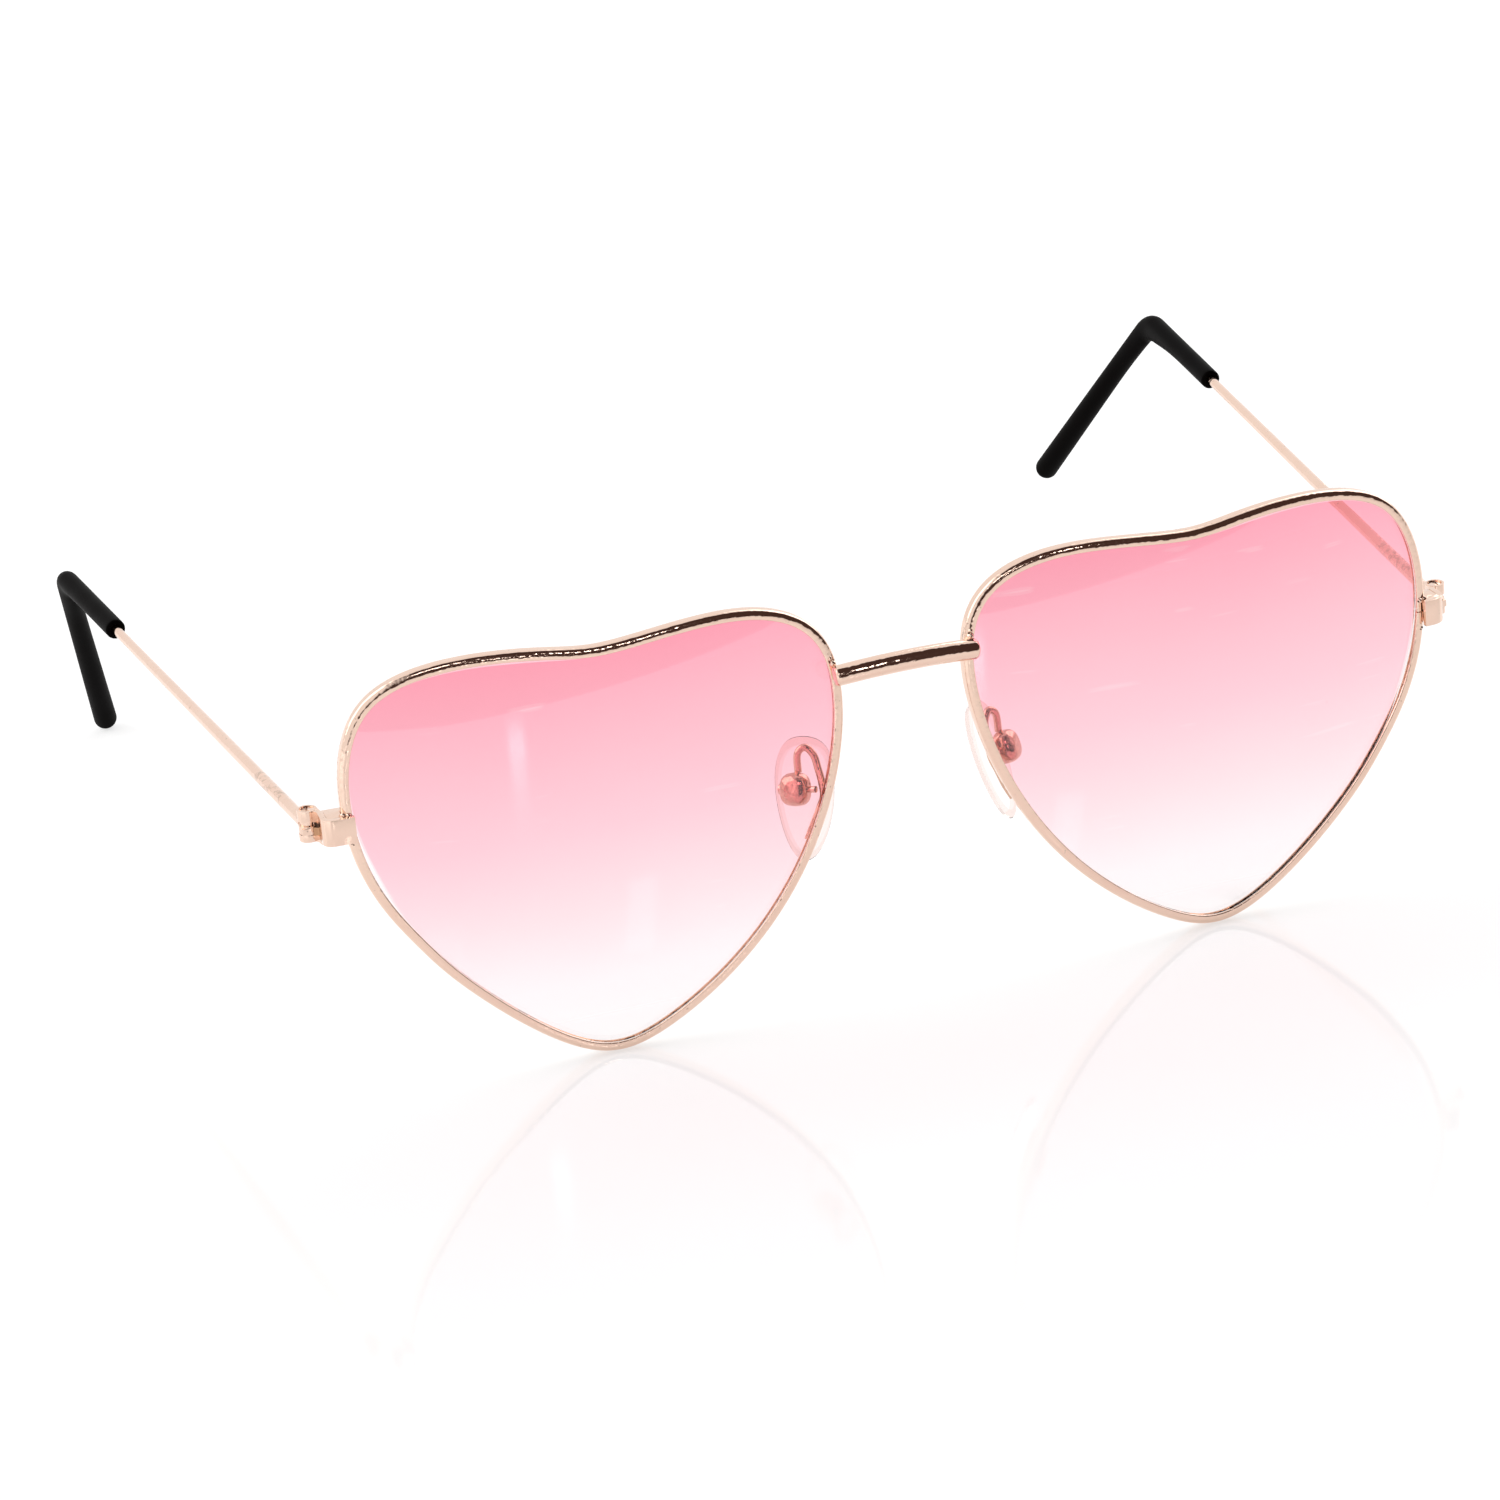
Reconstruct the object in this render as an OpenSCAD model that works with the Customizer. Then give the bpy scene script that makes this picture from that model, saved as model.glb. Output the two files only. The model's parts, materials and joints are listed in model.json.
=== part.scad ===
// Wire framed sunglasses with heart shaped lenses, standing on both hearts and one temple tip.
// Millimetres. X runs to the wearer's left, Y to the back, Z up, and the floor is at zero.
// Each side is modelled on the wearer's left and mirrored to the right.

/* [Hearts] */
// Width of one heart over its wire
heart_w = 60.4; // [54:0.1:66]
// Height of one heart over its wire
heart_h = 52.4; // [46:0.1:58]
// Distance between the middles of the two hearts
heart_spacing = 76; // [72:0.1:84]
// Radius of the curve that lenses and wires follow
base_curve_r = 125; // [100:1:180]
// Height of a lens's most forward point above the middle of its heart
apex_rise = 3.3; // [0:0.1:6]
// Turn of each heart back toward its temple, in degrees
wrap_angle = 3.3; // [0:0.1:6]

/* [Eye wire and lens] */
// Eye wire, from its outer face to the lens
wire_w = 1.15; // [1:0.05:1.6]
// Eye wire, from front to back
wire_d = 1.8; // [1.6:0.05:2.4]
// Rounding of the eye wire's outer edges
wire_edge_r = 0.35; // [0.1:0.05:0.5]
// Rounding of the lips beside the groove
wire_lip_r = 0.1; // [0.05:0.05:0.15]
// Depth of the groove that holds the lens
groove_depth = 0.5; // [0.4:0.05:0.6]
// Width of the groove at its mouth
groove_mouth = 1.3; // [1.2:0.05:1.4]
// Width of the groove at its floor
groove_floor = 1.22; // [1.15:0.01:1.3]
// Gap where the two ends of an eye wire meet
wire_split = 0.15; // [0.1:0.05:0.4]
// Thickness of a lens
lens_t = 1; // [0.8:0.05:1.05]
// Play between a lens's edge and the groove's floor
lens_play = 0.06; // [0.03:0.01:0.1]

/* [Bridge] */
// Thickness of the bridge rod
bridge_d = 2.5; // [2:0.1:3.2]
// Reach of each end of the bridge over its eye wire
bridge_lap = 1.17; // [0.6:0.01:1.3]
// Rise of the bridge's arch
bridge_arch = 0.5; // [0.2:0.1:2]
// Lean of the arch toward the front, in degrees
bridge_lean = 35; // [0:1:80]
// Rounding of the rod's cut ends
bridge_end_r = 0.5; // [0.2:0.1:0.8]

/* [End piece] */
// Height of the end piece
block_h = 3.2; // [2.8:0.1:4]
// Thickness of the end piece's front plate
plate_t = 0.68; // [0.5:0.02:1]
// Reach of the front plate over the eye wire
plate_lap = 0.65; // [0.3:0.05:0.9]
// Width of the end piece outside the eye wire
block_w = 2.7; // [2.5:0.1:3]
// Thickness of the end piece's side wall
side_wall_t = 0.7; // [0.5:0.05:0.8]
// Radius of the end piece's outer front corner
block_corner_r = 1.3; // [0.6:0.1:1.6]
// Reach of the end piece behind the middle of the eye wire
block_back = 2.1; // [1.8:0.05:2.1]
// Reach of the lock blocks behind the eye wire, toward the nose
lock_lap = 0.33; // [0.1:0.01:0.5]
// Shaft of the lock screw
lock_screw_d = 0.9; // [0.8:0.05:1]
// Head of the lock screw
lock_head_d = 1.3; // [1.1:0.05:1.4]
// Depth of the lock screw's head
lock_head_h = 0.45; // [0.3:0.05:0.6]

/* [Temple hinge] */
// Distance of the hinge axis outside the eye wire's outer face
hinge_out = 3.53; // [3.4:0.01:3.8]
// Distance of the hinge axis behind the middle of the eye wire
hinge_back = 3.4; // [3.4:0.01:3.8]
// Thickness of the hinge barrels
barrel_d = 2.36; // [2.2:0.02:2.6]
// Height of the upper barrel
upper_barrel_h = 1.35; // [1.1:0.05:1.6]
// Height of the slot between the outer barrels
slot_h = 1.6; // [1.3:0.05:1.8]
// Height of the lower barrel
lower_barrel_h = 0.85; // [0.7:0.05:1.2]
// Play above and below the temple's barrel
barrel_play = 0.05; // [0.03:0.01:0.08]
// Shaft of the hinge screw
hinge_screw_d = 1.1; // [0.9:0.05:1.2]
// Head of the hinge screw
hinge_head_d = 1.7; // [1.5:0.05:1.8]
// Depth of the hinge screw's head
hinge_head_h = 0.5; // [0.4:0.05:0.7]
// Height of the square heel that stops the open temple
heel_h = 1; // [0.7:0.05:1.4]
// Width of the heel outside the hinge axis
heel_w = 1.2; // [1:0.05:1.4]

/* [Temples] */
// Splay of an open temple, in degrees
temple_splay = 3; // [0:0.1:5]
// Lift of the left temple above the right one, in degrees
left_lift = 4.1; // [3:0.1:6]
// Thickness of the temple wire at the hinge
temple_front_d = 1.6; // [1.5:0.05:1.8]
// Thickness of the temple wire at the tip's mouth
temple_back_d = 1.2; // [1:0.05:1.4]
// Distance from the hinge axis to the tip's mouth
tip_start = 80.3; // [70:0.1:90]
// Distance from the hinge axis to the bend
bend_at = 104.6; // [95:0.1:110]
// Length of wire inside the tip
core_l = 20; // [10:0.5:21]
// Thickness of the tip at its mouth
tip_mouth_d = 2.55; // [2.2:0.05:3]
// Thickness of the tip at its end
tip_end_d = 3.1; // [2.6:0.05:3.6]
// Radius of the bend along the tip's middle
bend_r = 5; // [4:0.1:8]
// Distance from the bend to the tip's end, to the back
tail_back = 23.4; // [20:0.1:28]
// Distance from the bend to the tip's end, downward
tail_drop = 28.8; // [24:0.1:30]
// Distance from the bend to the tip's end, toward the head
tail_in = 8.5; // [4:0.1:9]

/* [Nose pads] */
// Length of a nose pad
pad_l = 13.6; // [12:0.1:16]
// Width of a nose pad
pad_w = 7.8; // [6:0.1:8.4]
// Thickness of a nose pad
pad_t = 1.2; // [1:0.05:1.5]
// Distance of a pad's middle from its arm's foot, outward
pad_out = 0.45; // [-0.3:0.05:1.7]
// Distance of a pad's middle from its arm's foot, to the back
pad_back = 3.8; // [3.5:0.05:6.5]
// Distance of a pad's middle from its arm's foot, upward
pad_z = -0.3; // [-1.7:0.05:1.3]
// Flare of a pad from front to back, in degrees
pad_flare = 39; // [30:1:45]
// Flare of a pad from top to bottom, in degrees
pad_tilt = 19; // [8:1:24]
// Lean of a pad's top to the back, in degrees
pad_lean = 8; // [0:1:12]
// Height of the pad's screw above the pad's middle
pad_screw_rise = 1.3; // [1:0.1:2.2]
// Distance from the pad's middle plane to its screw
pad_screw_off = 2.3; // [2:0.05:2.6]
// Shaft of the pad screw
pad_screw_d = 0.8; // [0.7:0.05:1]
// Head of the pad screw
pad_head_d = 1.4; // [1.2:0.1:1.6]
// Depth of the pad screw's head
pad_head_h = 0.45; // [0.3:0.05:0.6]
// Reach of the pad screw's end past the box
pad_screw_reach = 0.9; // [0.5:0.1:1.2]
// Thickness of the lug behind a pad
lug_t = 1.2; // [1:0.05:1.4]
// Height of the lug behind a pad
lug_h = 1.9; // [1.6:0.1:2]
// Width of the pad box
box_w = 3.7; // [3.2:0.1:4.2]
// Height of the pad box
box_h = 4; // [3.6:0.1:4.4]
// Depth of the pad box before its screw
box_front = 1; // [0.8:0.05:1.05]
// Depth of the pad box behind its screw
box_behind = 1.7; // [1.6:0.05:2]
// Rounding of the pad box's corners
box_corner_r = 1.1; // [0.5:0.1:1.4]
// Thickness of the pad arm's wire
arm_d = 0.9; // [0.8:0.05:1]
// Thickness of the arm's flattened foot
foot_t = 0.6; // [0.5:0.05:0.8]
// Rise of the arm's loop above the pad box
arm_loop_h = 3; // [2:0.1:3.8]

/* [Hidden] */
// Gap between pieces that are brazed or pressed together
seat_gap = 0.03;
// Step between the round faces of stretches that meet end to end
joint_step = 0.01;
// Play of a shaft in a bore that turns on it
bore_play = 0.03;
// Overrun of every cut
cut_over = 0.5;
// Play between the heel and its seat when the temple is open
stop_gap = 0.03;
// Play round a pad's lug inside its box
lug_play = 0.12;
// Room between the pad's lug and the floor of its box
lug_room = 0.15;
// Width and depth of the crossed slots in a hinge screw
slot_w = 0.28;
slot_depth = 0.25;

// Heart outline as control points of a closed curve, in shares of half its width and half its height,
// the first toward the nose and the second upward
heart_shares = [
    [1.05, 0.83], [0.61, 1.05], [0, 0.93], [-0.17, 1.01], [-1, 1], [-1.03, 0.12],
    [-0.77, -0.32], [-0.61, -0.56], [-0.12, -1.06], [0.17, -0.98], [0.65, -0.57], [0.98, 0.08]
];
// Pad outline in the same way, the first toward the back and the second upward
pad_shares = [
    [0, 1.13], [0.8, 1.05], [1.13, 0.5], [1, -0.2], [0.62, -0.85], [0.1, -1.14],
    [-0.5, -1.02], [-0.98, -0.4], [-1.13, 0.3], [-0.85, 1.02]
];
// Pad's depth and outline at each of its levels, from the back to the face on the nose
pad_level_shares = [[-0.5, 0.9], [-0.25, 1], [0.1, 0.97], [0.36, 0.8], [0.48, 0.45]];
// Pad arm's way from its foot to its box: shares of the distance sideways, back and up,
// and of the loop's rise
arm_shares = [
    [-0.42, 0.13, 0.36, 0], [-0.5, 0.33, 0.74, 0], [-0.42, 0.58, 1, 0.16],
    [-0.2, 0.8, 1, 0.66], [0.28, 0.98, 1, 0.98], [0.86, 1.05, 1, 0.68]
];
// Pad arm's roundness from the top of its foot on
ease_shares = [0.8, 1, 1, 1, 1, 1, 1, 1];

// Places round the heart, counted in control points
split_turn = 3.853;
bridge_turn = 10.77;
foot_low_turn = 9.6;
foot_high_turn = 9.815;
// Place on a hinge barrel where the ear that carries it runs in, in degrees
ear_turn = 40;

rings = 96;
slope_share = 0.01;
arm_rings_share = 5;
arm_sides = 8;
pad_sides = 28;

function blend(t) = [
    pow(1 - t, 3) / 6,
    (3 * pow(t, 3) - 6 * pow(t, 2) + 4) / 6,
    (-3 * pow(t, 3) + 3 * pow(t, 2) + 3 * t + 1) / 6,
    pow(t, 3) / 6
];
function loop_share(shares, turn) =
    let (n = len(shares), i = floor(turn), b = blend(turn - i))
    b[0] * shares[(i + n) % n] + b[1] * shares[(i + 1 + n) % n]
    + b[2] * shares[(i + 2 + n) % n] + b[3] * shares[(i + 3 + n) % n];
function unit(v) = v / norm(v);

// Point on the heart's outer edge, toward the nose and upward from the heart's middle
function heart_point(turn) =
    let (p = loop_share(heart_shares, turn)) [p[0] * heart_w / 2, p[1] * heart_h / 2];
function heart_outward(turn) =
    let (d = heart_point(turn + slope_share) - heart_point(turn - slope_share)) unit([d[1], -d[0]]);
function heart_inset(turn, inset) = heart_point(turn) - inset * heart_outward(turn);
function sag(p) = base_curve_r - sqrt(pow(base_curve_r, 2) - pow(p[0], 2) - pow(p[1] - apex_rise, 2));
function wire_middle(turn) = sag(heart_inset(turn, wire_w - groove_depth / 2));

turns = len(heart_shares);
heart_low = min([for (i = [0 : rings - 1]) heart_point(i * turns / rings)[1]]);

// Place in the front of a point given toward the nose, back and up on its own heart
function placed(u, back, v) = [
    heart_spacing / 2 - u * cos(wrap_angle) - back * sin(wrap_angle),
    back * cos(wrap_angle) - u * sin(wrap_angle),
    v - heart_low
];
module on_heart() {
    translate([heart_spacing / 2, 0, -heart_low])
        mirror([1, 0, 0])
            rotate([0, 0, -wrap_angle])
                children();
}

// Split in the eye wire, with the end piece and the hinge set out from it
split_point = heart_point(split_turn);
split_middle = wire_middle(split_turn);
block_top = split_point[1] + block_h / 2;
block_low = split_point[1] - block_h / 2;
hinge_top = block_top;
hinge_h = upper_barrel_h + slot_h + lower_barrel_h;
hinge_low = hinge_top - hinge_h;
slot_low = hinge_low + lower_barrel_h;
hinge_u = split_point[0] - hinge_out;
hinge_v = split_middle + hinge_back;
hinge_place = placed(hinge_u, hinge_v, slot_low + slot_h / 2);
// Furthest that the eye wire leans out beside the end piece
turn_speed = norm(heart_point(split_turn + slope_share) - heart_point(split_turn)) / slope_share;
block_turn = block_h / 2 / turn_speed;
wire_lean = max([for (k = [-1, 0, 1]) split_point[0] - heart_point(split_turn + k * block_turn)[0]]);
wire_bow = max([for (k = [-1, 1]) abs(wire_middle(split_turn + k * block_turn) - split_middle)]);
wire_front = wire_d / 2 + wire_bow + seat_gap;
lock_out = block_w - side_wall_t - seat_gap;

// Temples: the right one comes down to the floor and the left one is bent up from it
tip_reach = bend_at + tail_back;
right_drop = asin((hinge_place[2] - tip_end_d / 2) / norm([tip_reach, tail_drop]))
    - atan2(tail_drop, tip_reach);
left_drop = right_drop - left_lift;
tail_l = norm([tail_back, tail_in, tail_drop]);
bend_angle = acos(tail_back / tail_l);
bend_roll = atan2(tail_in, tail_drop);
bend_run = bend_r * tan(bend_angle / 2);
wire_start = barrel_d / 2 + 4 * barrel_play;

// Front and back of the whole pair, so that it stands over the origin
bridge_seat = heart_point(bridge_turn);
bridge_back = placed(bridge_seat[0], wire_middle(bridge_turn) - wire_d / 2, 0)[1] - seat_gap - bridge_d / 2;
bridge_z = bridge_seat[1] - heart_low;
bridge_l = 2 * (placed(bridge_seat[0], wire_middle(bridge_turn), 0)[0] + bridge_lap);
front_y = bridge_back - bridge_d / 2 - bridge_arch * sin(bridge_lean);
function tip_y(drop) = hinge_place[1]
    + cos(drop) * (tip_reach * cos(temple_splay) + tail_in * sin(temple_splay)) - sin(drop) * tail_drop;
back_y = max(tip_y(right_drop), tip_y(left_drop)) + tip_end_d / 2;
middle_y = (front_y + back_y) / 2;

module in_place() {
    translate([0, -middle_y, 0])
        children();
}
module left_side() {
    in_place()
        children();
}
module right_side() {
    in_place()
        mirror([1, 0, 0])
            children();
}

// Points of an arc
function arc(centre, r, from, to, steps) =
    [for (k = [0 : steps]) let (a = from + (to - from) * k / steps) centre + r * [cos(a), sin(a)]];

// Triangles between two neighbouring rings of n points
function band(a, b, n) = [for (j = [0 : n - 1]) for (f = [
    [a + j, b + j, b + (j + 1) % n],
    [a + j, b + (j + 1) % n, a + (j + 1) % n]
]) f];

// Eye wire's section: inset from the outer face, then depth from the middle
wire_half = wire_d / 2;
wire_section = concat(
    arc([wire_edge_r, wire_edge_r - wire_half], wire_edge_r, 270, 180, 2),
    arc([wire_edge_r, wire_half - wire_edge_r], wire_edge_r, 180, 90, 2),
    arc([wire_w - wire_lip_r, wire_half - wire_lip_r], wire_lip_r, 90, 0, 1),
    [[wire_w, groove_mouth / 2], [wire_w - groove_depth, groove_floor / 2]],
    [[wire_w - groove_depth, -groove_floor / 2], [wire_w, -groove_mouth / 2]],
    arc([wire_w - wire_lip_r, wire_lip_r - wire_half], wire_lip_r, 0, -90, 1)
);
function wire_ring(turn) = [for (s = wire_section)
    let (p = heart_inset(turn, s[0])) placed(p[0], wire_middle(turn) + s[1], p[1])];

module eye_wire() {
    n = len(wire_section);
    gap_turn = wire_split / turn_speed;
    first = split_turn - gap_turn / 2;
    step = (gap_turn - turns) / rings;
    points = [for (i = [0 : rings]) each wire_ring(first + i * step)];
    sides = [for (i = [0 : rings - 1]) each band(i * n, (i + 1) * n, n)];
    caps = [[for (j = [0 : n - 1]) n - 1 - j], [for (j = [0 : n - 1]) rings * n + j]];
    polyhedron(points, concat(sides, caps));
}

module lens() {
    inset = wire_w - groove_depth + lens_play;
    edge = [for (i = [0 : rings - 1]) heart_inset(i * turns / rings, inset)];
    on_heart()
        intersection() {
            rotate([90, 0, 0])
                linear_extrude(height = heart_w / 2, center = true)
                    polygon(edge);
            translate([0, base_curve_r, apex_rise])
                difference() {
                    sphere(r = base_curve_r + lens_t / 2, $fn = 240);
                    sphere(r = base_curve_r - lens_t / 2, $fn = 240);
                }
        }
}

// The bridge is a rod bent to a shallow arch, with rounded cut ends
module bridge_end() {
    r = bridge_d / 2 - joint_step;
    rotate_extrude($fn = 48)
        polygon(concat(
            [[0, -joint_step], [r, -joint_step]],
            arc([r - bridge_end_r, 0], bridge_end_r, 0, 90, 6),
            [[0, bridge_end_r]]
        ));
}
module bridge_rod() {
    half = bridge_l / 2 - bridge_end_r;
    arch_r = (pow(half, 2) + pow(bridge_arch, 2)) / (2 * bridge_arch);
    swing = asin(half / arch_r);
    translate([0, bridge_back, bridge_z])
        rotate([bridge_lean, 0, 0])
            translate([0, 0, bridge_arch - arch_r])
                rotate([90, 0, 0]) {
                    rotate([0, 0, 90 - swing])
                        rotate_extrude(angle = 2 * swing, $fn = 240)
                            translate([arch_r, 0])
                                circle(d = bridge_d, $fn = 48);
                    for (side = [-1, 1])
                        rotate([0, 0, 90 - side * swing])
                            translate([arch_r, 0, 0])
                                rotate([90 * side, 0, 0])
                                    bridge_end();
                }
}

// Points beside the end piece are given outward from the eye wire and back from its middle
function beside(out, back) = [split_point[0] - out, split_middle + back];
module upright(from, to) {
    translate([0, 0, from])
        linear_extrude(height = to - from)
            children();
}
module end_piece() {
    inner = wire_front;
    front = inner + plate_t;
    side = block_w - side_wall_t;
    root_out = hinge_out + heel_w / 4;
    barrel = beside(hinge_out, hinge_back);
    r = barrel_d / 2;
    plate = concat(
        [[-plate_lap, -inner], [-plate_lap, -front]],
        arc([block_w - block_corner_r, block_corner_r - front], block_corner_r, -90, 0, 6),
        [[block_w, block_back / 2], [root_out, block_back], [side, block_back], [side, -inner]]
    );
    arms = [
        [hinge_out - r, block_back / 2], [block_w, block_back / 2],
        [hinge_out + r * cos(ear_turn), hinge_back - r * sin(ear_turn)],
        [hinge_out, hinge_back], [hinge_out - r, hinge_back]
    ];
    on_heart()
        difference() {
            union() {
                upright(block_low, block_top)
                    polygon([for (p = plate) beside(p[0], p[1])]);
                for (level = [[hinge_low, slot_low], [slot_low + slot_h, hinge_top]])
                    upright(level[0], level[1]) {
                        polygon([for (p = arms) beside(p[0], p[1])]);
                        translate(barrel)
                            circle(d = barrel_d, $fn = 64);
                    }
            }
            translate([barrel[0], barrel[1], hinge_low - cut_over])
                cylinder(d = hinge_screw_d + 2 * seat_gap, h = hinge_h + 2 * cut_over, $fn = 48);
            translate([barrel[0], barrel[1], hinge_top - hinge_head_h - seat_gap])
                cylinder(d = hinge_head_d + 2 * seat_gap, h = hinge_head_h + cut_over, $fn = 48);
        }
}

lock_axis = [lock_out / 2, wire_front / 2];
module lock_outline() {
    inner = wire_lean + seat_gap;
    polygon([for (p = [
        [inner, seat_gap - wire_front], [lock_out, seat_gap - wire_front], [lock_out, block_back],
        [-lock_lap, block_back], [-lock_lap, wire_front], [inner, wire_front]
    ]) beside(p[0], p[1])]);
}
module lock_bore(d, from, to) {
    at = beside(lock_axis[0], lock_axis[1]);
    translate([at[0], at[1], from])
        cylinder(d = d, h = to - from, $fn = 48);
}
module lock_upper() {
    on_heart()
        difference() {
            upright(split_point[1] + wire_split / 2, block_top)
                lock_outline();
            lock_bore(lock_screw_d + 2 * seat_gap, split_point[1], block_top - block_h / 8);
        }
}
module lock_lower() {
    on_heart()
        difference() {
            upright(block_low, split_point[1] - wire_split / 2)
                lock_outline();
            lock_bore(lock_screw_d + 2 * seat_gap, block_low - cut_over, split_point[1]);
            lock_bore(lock_head_d + 2 * seat_gap, block_low - cut_over, block_low + lock_head_h + seat_gap);
        }
}
module lock_screw() {
    at = beside(lock_axis[0], lock_axis[1]);
    on_heart()
        difference() {
            union() {
                lock_bore(lock_screw_d, block_low, block_top - block_h / 8 - seat_gap);
                lock_bore(lock_head_d, block_low, block_low + lock_head_h);
            }
            translate([at[0], at[1], block_low])
                cube([lock_head_d + cut_over, slot_w, 2 * slot_depth], center = true);
        }
}

module hinge_screw() {
    at = beside(hinge_out, hinge_back);
    on_heart()
        translate([at[0], at[1], hinge_top])
            difference() {
                union() {
                    translate([0, 0, -hinge_h])
                        cylinder(d = hinge_screw_d, h = hinge_h - hinge_head_h / 2, $fn = 48);
                    translate([0, 0, -hinge_head_h])
                        cylinder(d = hinge_head_d, h = hinge_head_h, $fn = 48);
                }
                for (turn = [0, 90])
                    rotate([0, 0, turn])
                        cube([hinge_head_d / 1.4, slot_w, 2 * slot_depth], center = true);
            }
}

// The temple's barrel has a square heel in front of the axis, which rests on the end piece when open
module temple_hinge() {
    r = barrel_d / 2;
    low = slot_low + barrel_play;
    high = slot_low + slot_h - barrel_play;
    heel_front = hinge_back - block_back - stop_gap;
    at = beside(hinge_out, hinge_back);
    on_heart()
        translate([at[0], at[1], 0])
            difference() {
                union() {
                    upright(low, high) {
                        circle(d = barrel_d, $fn = 64);
                        rotate([0, 0, wrap_angle + temple_splay])
                            translate([-r * 0.6, 0])
                                square([1.2 * r, wire_start - seat_gap]);
                    }
                    upright(low, low + heel_h)
                        translate([-heel_w, -heel_front])
                            square([heel_w, heel_front]);
                }
                translate([0, 0, low - cut_over])
                    cylinder(d = hinge_screw_d + 2 * bore_play, h = slot_h + 2 * cut_over, $fn = 48);
            }
}

// What lies along a temple is drawn straight back from the hinge axis, then splayed and tipped
module along_temple(drop) {
    translate(hinge_place)
        rotate([-drop, 0, 0])
            rotate([0, 0, -temple_splay])
                rotate([-90, 0, 0])
                    children();
}
module temple_wire(drop) {
    along_temple(drop) {
        translate([0, 0, wire_start])
            cylinder(d1 = temple_front_d, d2 = temple_back_d, h = tip_start - wire_start, $fn = 48);
        translate([0, 0, tip_start])
            cylinder(d = temple_back_d, h = core_l, $fn = 48);
    }
}
// Plastic tip: a straight sleeve, a bend toward the ear and a tail that swells to a round end
module temple_tip(drop) {
    straight = bend_at - bend_run - tip_start;
    along_temple(drop)
        difference() {
            union() {
                translate([0, 0, tip_start])
                    cylinder(d = tip_mouth_d, h = straight, $fn = 48);
                translate([0, 0, tip_start + straight])
                    rotate([0, 0, bend_roll])
                        translate([0, bend_r, 0])
                            rotate([0, 90, 0])
                                rotate([0, 0, 180])
                                    bend_and_tail();
            }
            translate([0, 0, tip_start - cut_over])
                cylinder(d = temple_back_d + 2 * seat_gap, h = core_l + cut_over + seat_gap, $fn = 48);
        }
}
module bend_and_tail() {
    tail_straight = tail_l - bend_run;
    rotate([0, 0, 90 - bend_angle])
        rotate_extrude(angle = bend_angle, $fn = 96)
            translate([bend_r, 0])
                circle(d = tip_mouth_d - 2 * joint_step, $fn = 48);
    rotate([0, 0, 90 - bend_angle])
        translate([bend_r, 0, 0])
            rotate([90, 0, 0])
                rotate_extrude($fn = 48)
                    polygon(concat(
                        [[0, 0], [tip_mouth_d / 2, 0]],
                        arc([0, tail_straight], tip_end_d / 2, 0, 90, 12)
                    ));
}

// Middle of a pad arm's foot, on the back of the eye wire
function foot_point(turn) =
    let (p = heart_inset(turn, wire_w / 2))
    placed(p[0], wire_middle(turn) + wire_half + seat_gap + foot_t / 2, p[1]);
arm_foot = foot_point(foot_high_turn);

// Pad parts are drawn with X along the pad from front to back, Y up the pad and Z away from the nose
pad_place = arm_foot + [pad_out, pad_back, pad_z];
module on_pad() {
    translate(pad_place)
        rotate([90 - pad_tilt, 0, 90 - pad_flare])
            rotate([0, 0, -pad_lean])
                children();
}
function from_pad(p) =
    let (along = p[0] * cos(pad_lean) + p[1] * sin(pad_lean), up = p[1] * cos(pad_lean) - p[0] * sin(pad_lean))
    let (y = up * sin(pad_tilt) - p[2] * cos(pad_tilt), z = up * cos(pad_tilt) + p[2] * sin(pad_tilt))
    pad_place + [along * sin(pad_flare) - y * cos(pad_flare), along * cos(pad_flare) + y * sin(pad_flare), z];
module across_pad(d, from, to) {
    translate([from, pad_screw_rise, pad_screw_off])
        rotate([0, 90, 0])
            cylinder(d = d, h = to - from, $fn = 48);
}
module nose_pad() {
    count = len(pad_shares);
    levels = len(pad_level_shares);
    points = [for (level = pad_level_shares) for (i = [0 : pad_sides - 1])
        let (p = loop_share(pad_shares, i * count / pad_sides))
        [p[0] * level[1] * pad_w / 2, p[1] * level[1] * pad_l / 2, -level[0] * pad_t]];
    sides = [for (k = [0 : levels - 2]) each band(k * pad_sides, (k + 1) * pad_sides, pad_sides)];
    back = [for (i = [0 : pad_sides - 1]) i];
    face = [for (i = [0 : pad_sides - 1]) levels * pad_sides - 1 - i];
    on_pad()
        difference() {
            union() {
                polyhedron(points, concat(sides, [back, face]));
                translate([-lug_t / 2, pad_screw_rise - lug_h / 2, 0])
                    cube([lug_t, lug_h, pad_screw_off]);
                across_pad(lug_h, -lug_t / 2, lug_t / 2);
            }
            across_pad(pad_screw_d + 2 * bore_play, -lug_t, lug_t);
        }
}
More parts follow.
